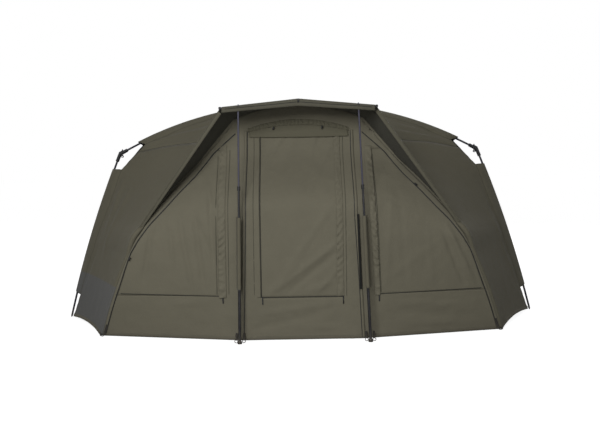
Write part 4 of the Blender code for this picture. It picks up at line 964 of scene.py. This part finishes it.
# the section is (distance behind the brow's front, rise over its edge)
browLip = {
    "half": 0.494, "columns": 90, "poleForward": 0.022, "poleReach": 0.10, "wave": 0.0022, "waveSize": 0.055,
    "section": ((0.052, 0.0075), (0.030, 0.0085), (0.012, 0.0100), (0.0, 0.0098), (-0.0080, 0.0062),
                (-0.0115, -0.002), (-0.0130, -0.012), (-0.0140, -0.022), (-0.0135, -0.031), (-0.0110, -0.037),
                (-0.0070, -0.0385)),
    "hang": (-0.008, 0.010), "endDrop": 0.18, "creaseShadeRow": 6, "seam": (0.0036, 0.0006), "flat": (1.06, 0.14),
}


def lipPoint(column, spot):
    # the hood's front hem, wrapped over the brow bar and hanging in front of the storm poles' tips
    back, rise = spot
    out = browLip["half"] * (2 * column - 1)
    hang = smoothStep(-rise, *browLip["hang"])
    wave = browLip["wave"] * rumple((out, rise, 2.0), browLip["waveSize"]) * hang
    forward = browLip["poleForward"] * bell((abs(out) - panel["stormTip"]) / browLip["poleReach"]) * hang
    drop = 1.0 - browLip["endDrop"] * abs(out) / hood["browHalf"]
    return out, browY + back + wave - forward, browTop(out) + rise * drop


lipGrid = gridOf(browLip["columns"], browLip["section"], lipPoint)
# the lip's darker colour is painted shade
lip = clothPiece("browLip", [lipGrid], (0.0, browY + 0.03, 1.54), "brow")
# a thin black strip along the lip stands for the dark crease under its top fold: painted shade
lipCreaseLine = lipGrid[2:-2, browLip["creaseShadeRow"]]
lipCreaseShade = tapePiece("browLipCreaseShade", [(lipCreaseLine, np.tile([0.0, -1.0, 0.1], (len(lipCreaseLine), 1)))], "webbing",
                    *browLip["seam"])


def hoodUnderside():
    # where the hood's cloth crosses the panel's top plane, as x and height
    plane = browY + panel["topDepth"]
    crossings = []
    for share in np.linspace(0.0, 1.0, 121):
        atRib, edge = hoodLine(share)
        if atRib[1] <= plane:
            break
        crossings.append(mixed(atRib, edge, (atRib[1] - plane) / (atRib[1] - edge[1])))
    return np.array(crossings)


underside = hoodUnderside()
ribShade = {
    "start": 0.735, "turn": 0.12, "past": 0.013, "underHood": 0.005, "rows": 73, "columns": 6,
    "top": 1.47, "below": 0.01, "overlap": 0.004, "behind": 0.0015, "pipingTurn": (0.34, 0.60),
    "pucker": 0.0016, "puckerEvery": 0.036, "flat": (0.92, 0.07),
    "edge": [(1.09, 0.70), (1.05, 0.78), (0.97, 0.857), (0.84, 1.005), (0.69, 1.163), (0.54, 1.326),
             (0.427, 1.46), (0.36, 1.54)],
    "piping": [(1.242, 0.325), (1.180, 0.471), (1.130, 0.582), (1.078, 0.667), (1.0, 0.77),
               (0.905, 0.868), (0.80, 0.983), (0.70, 1.085), (0.58, 1.237), (0.43, 1.37)],
}


def shadeOuter(height):
    # how far the shaded cloth reaches: over the rib below, under the hood above
    low = underside[-1, 2]
    atHood = float(np.interp(height, underside[::-1, 2], underside[::-1, 0])) - ribShade["underHood"]
    return mixed(ribFront(height)[0] + ribShade["past"], atHood, smoothStep(height, low - 0.01, low + 0.05))


def panelOuter(height):
    # the light strip's outer edge: beside the leg below, then inside the hood's shade
    edge = min(lineAt(ribShade["edge"], height), shadeOuter(height))
    share = smoothStep(height, ribShade["start"], ribShade["start"] + ribShade["turn"])
    return mixed(stripOuter(height), edge, share)


def pipingAt(height):
    # where the light strip meets the window: the piping's line
    share = smoothStep(height, *ribShade["pipingTurn"])
    return mixed(stripInner(height), lineAt(ribShade["piping"], height), share)


# long soft folds of each part of the panel
creases = {
    "door": [(-0.20, 0.31, 0.24, 0.64, 0.014, 0.0060), (-0.10, 0.31, 0.24, 0.58, 0.012, -0.0048),
             (-0.25, 1.12, -0.10, 1.36, 0.012, 0.0045), (-0.24, 0.95, 0.00, 1.28, 0.020, -0.004),
             (0.24, 0.40, 0.02, 0.31, 0.016, 0.004), (0.23, 1.30, 0.05, 0.96, 0.018, 0.004),
             (-0.12, 0.42, 0.22, 0.90, 0.022, 0.0025), (0.14, 1.34, 0.10, 1.20, 0.010, -0.003),
             (0.10, 0.31, 0.25, 0.47, 0.011, 0.0038), (-0.22, 0.31, -0.02, 0.50, 0.014, 0.003)],
    "left": [(-0.56, 0.34, -0.60, 1.02, 0.014, 0.006), (-0.64, 0.33, -0.70, 0.86, 0.014, -0.007),
             (-0.72, 0.36, -0.80, 0.84, 0.013, 0.007), (-0.84, 0.52, -0.87, 0.82, 0.010, 0.007),
             (-1.05, 0.40, -0.98, 0.76, 0.014, -0.007), (-0.53, 0.80, -0.66, 1.10, 0.014, 0.005),
             (-0.60, 0.60, -0.68, 0.80, 0.010, -0.005)],
    "right": [(0.56, 0.34, 0.61, 0.95, 0.016, 0.002), (0.70, 0.33, 0.66, 0.92, 0.020, -0.0015),
              (0.58, 0.40, 0.95, 0.66, 0.022, 0.002), (0.88, 0.33, 0.84, 0.74, 0.018, 0.0015),
              (0.54, 1.02, 0.74, 1.06, 0.009, 0.0035), (0.55, 0.90, 0.70, 0.95, 0.009, -0.003),
              (0.985, 0.72, 1.16, 0.34, 0.013, 0.009), (0.955, 0.68, 1.10, 0.33, 0.011, -0.007)],
    "skirt": [(-0.95, 0.23, -0.62, 0.26, 0.010, 0.0035), (0.58, 0.24, 1.05, 0.20, 0.009, 0.0042),
              (0.62, 0.17, 1.12, 0.13, 0.009, -0.0042), (0.66, 0.10, 1.16, 0.07, 0.009, 0.0042),
              (-0.30, 0.17, 0.24, 0.25, 0.012, 0.0045), (-0.32, 0.08, 0.10, 0.17, 0.012, -0.0045),
              (0.24, 0.08, -0.10, 0.10, 0.010, 0.0035)],
}
# diagonal slack in the cloth beside the door
slackPatch = {"near": (0.275, 0.305), "far": (0.358, 0.378), "top": (0.65, 0.95), "slope": 1.3,
              "every": 0.075, "depth": 0.0020}
frameCloth = {"ribFade": 0.05, "hemFade": 0.05, "skirtTop": 0.292, "topFade": 0.03, "edgeSwell": 0.3,
              "swell": 0.0018, "swellSize": 0.12, "gap": 0.0008, "poleTop": 1.5,
              "leastWindow": 0.004, "leastStrip": 0.011, "underHood": 0.003, "leastRise": 0.004}
# the panel's frame: columns from its outer edge to the middle, rows from the hem to the hood
frameParts = {"strip": 4, "window": 16, "besideWindow": 5, "besideDoor": 6, "door": 9}
frameRows = {"skirt": 15, "open": 45, "overWindow": 6, "overDoor": 6}
stripColumns = frameParts["strip"]
windowColumns = stripColumns + frameParts["window"]
doorColumns = windowColumns + frameParts["besideWindow"] + frameParts["besideDoor"]


def panelSwell(out, height, kind):
    point = (out, 0.0, height)
    swell = panel["broadSwell"] * rumple(point, panel["broadSize"], 11.0)
    swell += panel["smallSwell"] * rumple(point, panel["smallSize"], 13.0)
    return swell + panel["creaseScale"] * creaseDepth(creases[kind], out, height)


def spread(ends, counts):
    values = []
    for first, second, count in zip(ends, ends[1:], counts):
        values += list(np.linspace(first, second, count + 1))[:-1]
    return values + [ends[-1]]


def frameGrid():
    gap = frameCloth["gap"]
    door, window = panel["doorHalf"] + gap, panel["windowInner"] - gap
    low, high = panel["zipHeight"] - gap, panel["windowTop"] + gap
    heights = list(np.linspace(tent["hemHeight"], panel["doorBottom"] - gap, frameRows["skirt"]))
    heights += list(np.linspace(low, high, frameRows["open"]))
    heights += list(np.linspace(high, panel["doorTop"] + gap, frameRows["overWindow"] + 1))[1:]
    rows = []
    for height in heights:
        inner = max(pipingAt(height), window + frameCloth["leastWindow"])
        outer = max(panelOuter(height), inner + frameCloth["leastStrip"])
        storm = mixed(panel["stormFoot"], panel["stormTip"], height / frameCloth["poleTop"])
        half = spread([outer, inner, window, storm, door, 0.0], frameParts.values())
        rows.append([panelPoint(out, height) for out in [-value for value in half] + half[-2::-1]])
    last = rows[-1]
    for step in range(1, frameRows["overDoor"] + 1):
        line = []
        for out, depth, start in last:
            top = float(np.interp(abs(out), underside[:, 0], underside[:, 2])) - frameCloth["underHood"]
            top = max(top, start + frameCloth["leastRise"])
            height = mixed(start, top, step / frameRows["overDoor"])
            reach = panelOuter(height)
            line.append(panelPoint(max(-reach, min(out, reach)), height))
        rows.append(line)
    return np.array(rows)


def frameSwell(x, z, place):
    # how far the frame's cloth comes forward, by its x, its height and its column from the edge
    out = abs(x)
    if z < panel["doorBottom"]:
        edge = min(z / frameCloth["hemFade"], 1.0)
        edge *= clamped((frameCloth["skirtTop"] - z) / frameCloth["topFade"])
        swell = panelSwell(x, z, "skirt") * mixed(frameCloth["edgeSwell"], 1.0, edge)
    else:
        swell = frameCloth["swell"] * rumple((x, 0, z), frameCloth["swellSize"], 21.0)
    swell *= clamped((stripOuter(z) - out) / frameCloth["ribFade"])
    slack = smoothStep(out, *slackPatch["near"]) * (1 - smoothStep(out, *slackPatch["far"]))
    slack *= 1 - smoothStep(z, *slackPatch["top"])
    turns = (z - slackPatch["slope"] * out) / slackPatch["every"] + rumple((x, 4, z), 0.2, 27.0)
    swell += slackPatch["depth"] * (1 + sin(2 * pi * turns)) * slack
    if 0 < place < stripColumns:
        turns = (z - out) * 0.7 / ribShade["puckerEvery"] + 1.5 * rumple((x, 3, z), 0.10, 22.0)
        swell += ribShade["pucker"] * (1 + sin(2 * pi * turns))
    return swell


surround = frameGrid()
lastColumn = surround.shape[1] - 1
for row, column in np.ndindex(surround.shape[:2]):
    x, y, z = surround[row, column]
    surround[row, column, 1] = y - frameSwell(x, z, min(column, lastColumn - column))


def surroundOpen(number, row, column):
    # the openings of the door and of the two windows
    place = min(column, lastColumn - 1 - column)
    if place >= doorColumns:
        return 0 <= row + 1 - frameRows["skirt"] < frameRows["open"] + frameRows["overWindow"]
    return stripColumns <= place < windowColumns and 0 <= row - frameRows["skirt"] < frameRows["open"] - 1


def shadeGrid(side):
    # cloth in the hood's shade, from the light strip over the rib to the hood
    def pointAt(down, over):
        height = mixed(ribShade["start"] - ribShade["below"], ribShade["top"], down)
        out = mixed(panelOuter(height) - ribShade["overlap"], shadeOuter(height), over)
        return panelPoint(out * side, height, -ribShade["behind"])
    return gridOf(ribShade["rows"], ribShade["columns"], pointAt)


def flapGrid(kind, bottom, top, rows, columns, edgesAt):
    # cloth just behind the frame, a little wider than its opening
    bottom, top = bottom - panel["under"], top + panel["under"]

    def pointAt(down, over):
        height = mixed(bottom, top, down)
        first, last = edgesAt(height)
        out = mixed(first, last, over)
        fade = min(min(over, 1 - over) * abs(last - first) / panel["edgeFade"], 1.0)
        fade *= min(down * rows / 3, 1.0)
        return panelPoint(out, height, panelSwell(out, height, kind) * fade - panel["behind"])
    return gridOf(rows, columns, pointAt)


shade = clothPiece("ribShade", [shadeGrid(-1), shadeGrid(1)], behindPanel, "panel")
frontPanel = clothPiece("frontPanel", [surround], behindPanel, "panel", skips=surroundOpen)
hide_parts("front_surround")
doorEdge = panel["doorHalf"] + panel["under"]
doorCloth = clothPiece(
    "doorCloth", [flapGrid("door", panel["doorBottom"], panel["doorTop"], 56, 52,
                           lambda height: (-doorEdge, doorEdge))], behindPanel, "panel")
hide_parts("door")
windowEdge = panel["windowInner"] - panel["under"]
windowCloths = {}
for name, side in sides.items():
    cloth = clothPiece(
        f"{name}Window", [flapGrid(name, panel["zipHeight"], panel["windowTop"], 48, 44, lambda height: (
            windowEdge * side, max(pipingAt(height) + panel["under"], windowEdge + 0.003) * side))],
        behindPanel, "panel")
    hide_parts(f"window_{name}")
    windowCloths[name] = cloth
print("front panel made")


def panelTape(ends, steps=24, forward=0.0015):
    # a line over the panel from (x, z) to (x, z), as points and normals
    spots = spread([np.array(end) for end in ends], [steps] * (len(ends) - 1))
    points = np.array([panelPoint(*spot, forward) for spot in spots])
    reach = 0.01
    normals = []
    for x, y, z in points:
        overX = panelPoint(x + reach, z) - panelPoint(x - reach, z)
        overZ = panelPoint(x, z + reach) - panelPoint(x, z - reach)
        normal = unit(np.cross(overX, overZ))
        normals.append(normal if normal[1] < 0 else -normal)
    return points, np.array(normals)


def heightTape(spots, low, high, count, forward):
    # the same along a line of (x, z), or a function of height, at even heights
    xAt = spots if callable(spots) else lambda height: lineAt(spots, height)
    return panelTape([(xAt(height), height) for height in np.linspace(low, high, count)], 1, forward)


ribZips = tapePiece(
    "ribZips", [heightTape(lambda height: side * pipingAt(height), 0.02, 1.37, 70, 0.002)
                for side in sides.values()], "piping", 0.007, 0.0035)
tapePiece("doorZips",
          [panelTape([(-panel["doorHalf"], 1.37), (-panel["doorHalf"], 0.287), (0.277, 0.287)], 40)],
          "zipTape", 0.0065, 0.0014)
tapePiece("windowZips",
          [panelTape([(side * (panel["windowInner"] + 0.010), panel["zipHeight"]),
                      (side * 1.213, panel["zipHeight"] + 0.012)], 40) for side in sides.values()],
          "zipTape", 0.0050, 0.0014)


def stripGrid(inner, outer, low, high, plan):
    # a strip of cloth over the panel between two lines of (x, z), sewn at its first edge
    def pointAt(down, share):
        height = mixed(low, high, down)
        first = lineAt(inner, height)
        out = mixed(first, lineAt(outer, height), share)
        turns = (height + plan["slant"] * share) / plan["every"]
        wave = sin(2 * pi * turns + 3 * rumple((out, 0, height), 0.12, 31.0))
        wave *= 0.55 + 0.9 * rumple((1.0 if first > 0 else -1.0, 5, height), 0.16, 35.0)
        wave = plan["ruffle"] * (wave + 1.3 * rumple((out, 1, height), 0.022, 33.0)) * share ** 0.7
        lift = plan["lift"] * (0.3 + 0.7 * share) + plan["round"] * sin(pi * share)
        return panelPoint(out, height, max(lift + wave, leastLift))
    return gridOf(int((high - low) / plan["step"]), plan["columns"], pointAt)


stripPlans = {
    "windowFlap": {"step": 0.005, "columns": 10, "every": 0.050, "slant": 0.034, "ruffle": 0.0062,
                   "lift": 0.007, "round": 0.003},
    "doorFlap": {"step": 0.010, "columns": 8, "every": 0.060, "slant": 0.030, "ruffle": 0.0006,
                 "lift": 0.0025, "round": 0.0},
    "doorRuffle": {"step": 0.006, "columns": 9, "every": 0.052, "slant": 0.038, "ruffle": 0.0052,
                   "lift": 0.006, "round": 0.002},
    "poleFold": {"step": 0.010, "columns": 8, "every": 0.070, "slant": 0.030, "ruffle": 0.0022,
                 "lift": 0.001, "round": 0.010},
}
# (name, plan, sewn line, free line, lowest, highest), in (x, z)
stripList = [
    ("windowFlapLeft", "windowFlap", [(-0.492, 0.28), (-0.490, 1.30)], [(-0.543, 0.28), (-0.536, 1.30)],
     0.285, 1.290),
    ("windowFlapRight", "windowFlap", [(0.487, 0.29), (0.452, 0.92), (0.448, 1.28)],
     [(0.524, 0.29), (0.496, 0.92), (0.494, 1.28)], 0.290, 1.275),
    ("doorFlapLeft", "doorFlap", [(-0.310, 0.28), (-0.306, 1.38)], [(-0.267, 0.28), (-0.268, 1.38)],
     0.285, 1.375),
    ("doorFlapRight", "doorRuffle", [(0.284, 0.28), (0.280, 1.38)], [(0.238, 0.28), (0.240, 1.38)],
     0.290, 1.370),
    ("poleFoldLeft", "poleFold", [(-0.379, 0.01), (-0.377, 0.10), (-0.355, 0.80), (-0.349, 1.38)],
     [(-0.401, 0.01), (-0.377, 0.80), (-0.371, 1.38)], 0.012, 1.385),
    ("poleFoldRight", "poleFold", [(0.400, 0.01), (0.382, 0.40), (0.358, 0.80), (0.352, 1.38)],
     [(0.422, 0.01), (0.404, 0.40), (0.380, 0.80), (0.374, 1.38)], 0.012, 1.385),
]
for name, plan, sewn, free, low, high in stripList:
    strip = clothPiece(name, [stripGrid(sewn, free, low, high, stripPlans[plan])], behindPanel,
                       "panel", "panel", thickness=0.001)
    width = max(abs(lineAt(sewn, height) - lineAt(free, height)) for height in (low, high, 0.8))

tapePiece("poleFoldSeams", [heightTape(sewn, 0.015, 1.38, 40, 0.003)
                            for name, plan, sewn, free, low, high in stripList if plan == "poleFold"],
          "piping", 0.0050, 0.0022)
tapePiece("panelSeams", [panelTape(line, 60, 0.0030) for line in (
    [(-0.308, 0.29), (-0.304, 1.36)], [(-0.556, 0.31), (-0.551, 1.22)], [(-0.476, 0.31), (-0.470, 1.26)],
    [(0.528, 0.31), (0.504, 0.92), (0.500, 1.22)], [(0.300, 0.29), (0.298, 1.36)])], "seam", 0.0040, 0.0008)
# painted shadow: black strips for the dark gap between each pole sleeve and the panel
tapePiece("poleSlotShadows", [heightTape(spots, 0.335, 0.83, 24, 0.012) for spots in (
    [(-0.404, 0.335), (-0.399, 0.83)], [(0.394, 0.335), (0.379, 0.83)])], "slotShadow", 0.015, 0.0008)
skirtHem = tapePiece("skirtHem", [panelTape([(-1.34, 0.018), (1.34, 0.018)], 90, 0.001)], "band",
                     0.022, 0.0014)
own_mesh(doorCloth)
for name, side in sides.items():
    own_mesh(windowCloths[name])

valance = {"half": 0.338, "bottom": 1.339, "endRise": 0.004, "endTop": 1.380, "centreTop": 1.425,
           "forward": 0.013, "fullAt": 0.7, "pucker": 0.0016, "every": 0.031, "puckerReach": 0.25,
           "swell": 0.002, "swellSize": 0.06, "columns": 60, "rows": 12, "flat": (0.72, 0.10)}
gather = {"half": 0.345, "overlap": 0.003, "rise": 0.040, "endLess": 0.35, "slant": 0.010,
          "columns": 120, "rows": 9, "every": 0.029, "depth": 0.0044, "lift": 0.007, "flat": (0.86, 0.08)}


def valanceTop(share):
    return mixed(valance["endTop"], valance["centreTop"], 1 - share * share)


def valancePoint(over, part):
    share = 2 * over - 1
    out = valance["half"] * share
    height = mixed(valanceTop(share), valance["bottom"] + valance["endRise"] * share * share, part)
    bulge = valance["forward"] * (0.2 + 0.8 * smoothStep(part, 0.0, valance["fullAt"]))
    wave = sin(2 * pi * out / valance["every"]) * exp(-part / valance["puckerReach"])
    bulge += valance["pucker"] * wave
    bulge += valance["swell"] * rumple((out, 0, height), valance["swellSize"], 41.0)
    return panelPoint(out, height, max(bulge, 0.002))


def gatherPoint(over, part):
    # the gathered band over the valance
    share = 2 * over - 1
    out = gather["half"] * share
    rise = gather["rise"] * part * (1 - gather["endLess"] * share * share)
    height = valanceTop(share) - gather["overlap"] + rise
    turns = (out + gather["slant"] * part) / gather["every"] + 1.2 * rumple((out, 0, height), 0.08, 61.0)
    wave = gather["depth"] * (sin(2 * pi * turns) + 0.8 * rumple((out, 2, height), 0.02, 63.0))
    lift = gather["lift"] * sin(pi * min(0.15 + part * 0.85, 1.0))
    return panelPoint(out, height, max(lift + wave * sin(pi * part), leastLift))


# the valance and the gathered band over it take that darker colour: painted shade of the hood
valanceCloth = clothPiece("doorValance", [gridOf(valance["columns"], valance["rows"], valancePoint)],
                          behindPanel, "valance")
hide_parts("door_valance")
gatherBand = clothPiece("gatheredBand", [gridOf(gather["columns"], gather["rows"], gatherPoint)],
                        behindPanel, "valance", "panel", thickness=0.001)

poleSleeve = {"low": 0.352, "high": 0.822, "rows": 48, "radius": 0.0118, "steps": 12, "startTurn": -30,
              "sweep": 200, "swell": 0.0012, "swellSize": 0.04, "seamOut": 0.022, "bend": 0.004,
              "flat": (0.50, 0.150), "keep": 0.64}
stormLines = {}
for name, out in (("left", panel["stormFoot"]), ("right", 0.448)):
    stormLines[name] = (Vector((sides[name] * out, browY - 0.060, 0.0)),
                        Vector((sides[name] * panel["stormTip"], browY - 0.020,
                                browTop(panel["stormTip"]) + 0.012)))


def stormAt(name, height):
    foot, tip = stormLines[name]
    return foot + (tip - foot) * (height / tip.z)


def sleeveGrid(name, side):
    rows = []
    for down in np.arange(poleSleeve["rows"] + 1) / poleSleeve["rows"]:
        height = mixed(poleSleeve["low"], poleSleeve["high"], down)
        centre = stormAt(name, height)
        wall = panelPoint(centre.x + side * poleSleeve["seamOut"], height, 0.0010)
        line = []
        for step in range(poleSleeve["steps"] + 1):
            angle = radians(poleSleeve["startTurn"] + poleSleeve["sweep"] * step / poleSleeve["steps"])
            place = (step * 0.01, name == "left", height)
            reach = poleSleeve["radius"] + poleSleeve["swell"] * rumple(place, poleSleeve["swellSize"], 71.0)
            line.append((centre.x - side * cos(angle) * reach, centre.y - sin(angle) * reach, height))
        line.append((wall[0] - side * poleSleeve["bend"], wall[1] * 0.6 + centre.y * 0.4, height))
        rows.append(line + [tuple(wall)])
    return np.array(rows)


for name, side in sides.items():
    sleeve = clothPiece(f"{name}PoleSleeve", [sleeveGrid(name, side)], stormAt(name, 0.6), "canopy",
                        "canopy", thickness=0.0008)
    tuple(stormAt(name, poleSleeve["high"]))
    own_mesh(sleeve)

# toggles: x, height, slope in degrees, and how far they stand forward
toggleLines = []
for out, height, slope, forward in ((-1.136, 0.548, 60, 0.016), (0.782, 1.012, -42, 0.016),
                                    (-0.170, 1.402, 70, 0.022), (0.160, 1.404, 80, 0.022)):
    half = np.array([0.011 * cos(radians(slope)), 0.0, 0.011 * sin(radians(slope))])
    spot = panelPoint(out, height, forward)
    toggleLines.append([spot + half * share for share in (-1.0, -0.5, 0.5, 1.0)])
toggleLines.append([(0.0, browY - 0.0155, hood["apexHeight"] + rise)
                    for rise in (-0.016, -0.012, 0.002, 0.006)])
tubePiece("clothToggles", toggleLines, 0.0052, count=10)


def ringLine(centre, radius, lean, steps=20):
    angles = [2 * pi * step / steps for step in range(steps + 1)]
    return [(centre[0] + radius * cos(angle), centre[1] + radius * sin(angle) * cos(lean),
             centre[2] + radius * sin(angle) * sin(lean)) for angle in angles]


# a ring, a tab and a peg at each front corner, and two rings and two tabs at each storm pole
footRings, footTabs = [], []
for name, side in sides.items():
    corner = Vector((side * 1.352, browY + 0.258, 0.0))
    footRings.append(ringLine((corner.x + side * 0.012, corner.y - 0.030, 0.0145), 0.013, 1.1))
    peg = Vector((corner.x + side * 0.026, corner.y - 0.036, 0.004))
    footRings.append([peg + Vector((side * out, 0, rise))
                      for out, rise in ((0, 0), (0, 0.020), (0.004, 0.030), (0.014, 0.032))])
    footTabs.append(([panelPoint(side * out, height, forward) for out, height, forward in (
        (1.325, 0.085, 0.003), (1.338, 0.050, 0.006), (1.350, 0.014, 0.016))], [(side * 0.2, -1.0, 0.3)] * 3))
    foot = stormAt(name, 0.0)
    for away in (-0.024, 0.026):
        footRings.append(ringLine((foot.x + away, foot.y + 0.020, 0.012), 0.010, 1.2))
        footTabs.append(([(foot.x + away, foot.y + back, height) for back, height in (
            (0.077, 0.055), (0.050, 0.030), (0.026, 0.016))], [(0.0, -0.9, 0.4)] * 3))
tubePiece("footRings", footRings, 0.0022)
tapePiece("footTabs", footTabs, "webbing", 0.014, 0.0012)
tubePiece("doorPullRight", [[(0.277, browY + 0.017, 0.292), (0.2772, browY + 0.0165, 0.262),
                             (0.2774, browY + 0.016, 0.240)]], 0.0032, "door_slider")

# looks of the solids that stay
finishes = {"pole": "ribTube", "plastic": "moulded", "steel": "pinSteel", "fabric": "canopy"}
slotOf = {part["node"]: part["material_slot"] for part in frame["record"]["subparts"]}
for name, node in frame["nodes"].items():
    finish = finishes.get(slotOf.get(name, "plastic"), "moulded")
    if name.startswith("storm_upper"):
        finish = "stormTube"
    if name.startswith("storm_lower"):
        finish = "stormLower"
    node.data.materials.clear()
    node.data.materials.append(materials[finish])
print("solids finished")

studio = {"floorColour": (0.36, 0.36, 0.36), "floorGlow": 0.90, "worldStrength": 0.17}
# each lamp's place, aim, power and size
lamps = {
    "keySoftbox": ((-1.6, browY - 5.2, 2.95), (0.0, browY, 0.8), 277.0, (2.6, 2.0)),
    "backSoftbox": ((1.6, hubY + 6.0, 3.6), (0.0, hubY, 0.8), 170.0, (3.0, 2.4)),
    "fillSoftbox": ((1.2, browY - 4.8, 1.1), (0.0, browY, 1.0), 22.0, (2.4, 1.8)),
    "topSoftbox": ((2.6, hubY - 0.8, 3.6), (0.9, hubY - 0.3, 1.2), 7.0, (1.6, 1.6)),
}
view = {"place": (-0.0235, browY - 5.376, 1.2519), "yaw": -0.0045, "pitch": -0.0735, "roll": 0.0157,
        "lens": 49.73}


def buildFloor():
    bm = bmesh.new()
    bmesh.ops.create_grid(bm, x_segments=8, y_segments=8, size=30.0)
    floor = meshObject("studioFloor", bm)
    floor.location.z = -0.001
    material, tree, shader = startMaterial("paleFloor")
    # the floor's own glow is seen by the camera alone, so it lights nothing
    seen = addNode(tree, "LightPath").outputs["Is Camera Ray"]
    fill(tree, shader, {
        "Base Color": studio["floorColour"], "Roughness": 0.9, "Specular IOR Level": 0.1,
        "Emission Color": greyOf(tree, seen), "Emission Strength": studio["floorGlow"]})
    floor.data.materials.append(material)


def buildWorld():
    world = bpy.data.worlds.new("studioWorld")
    bpy.context.scene.world = world
    world.use_nodes = True
    tree = world.node_tree
    tree.nodes.clear()
    ray = addNode(tree, "LightPath").outputs
    either = mathNode(tree, "MAXIMUM", ray["Is Camera Ray"], ray["Is Glossy Ray"])
    either = mathNode(tree, "MAXIMUM", either, ray["Is Transmission Ray"])
    lit, seen = (addNode(tree, "Background", {"Color": (1.0, 1.0, 1.0), "Strength": strength}).outputs[0]
                 for strength in (studio["worldStrength"], 1.0))
    mix = addNode(tree, "MixShader", {0: either, 1: lit, 2: seen})
    addNode(tree, "OutputWorld", {0: mix.outputs[0]})


def addLamp(name, place, aim, power, size):
    lamp = bpy.data.lights.new(name, "AREA")
    lamp.energy = power
    lamp.shape = "RECTANGLE"
    lamp.size, lamp.size_y = size
    made = addObject(name, lamp)
    made.location = place
    made.rotation_mode = "QUATERNION"
    made.rotation_quaternion = (Vector(aim) - Vector(place)).to_track_quat("-Z", "Y")


def buildCamera():
    data = bpy.data.cameras.new("photoCamera")
    data.lens = view["lens"]
    data.sensor_width = 36.0
    camera = addObject("photoCamera", data)
    turn = (Matrix.Rotation(view["yaw"], 3, "Z") @ Matrix.Rotation(view["pitch"], 3, "X")
            @ Matrix.Rotation(view["roll"], 3, "Y"))
    right, forward, up = turn.col
    facing = Matrix((right, up, -forward)).transposed()
    camera.matrix_world = Matrix.Translation(Vector(view["place"])) @ facing.to_4x4()
    bpy.context.scene.camera = camera


buildFloor()
buildWorld()
for name, lamp in lamps.items():
    addLamp(name, *lamp)
buildCamera()
bpy.context.scene.view_settings.view_transform = "Standard"
print("studio made")
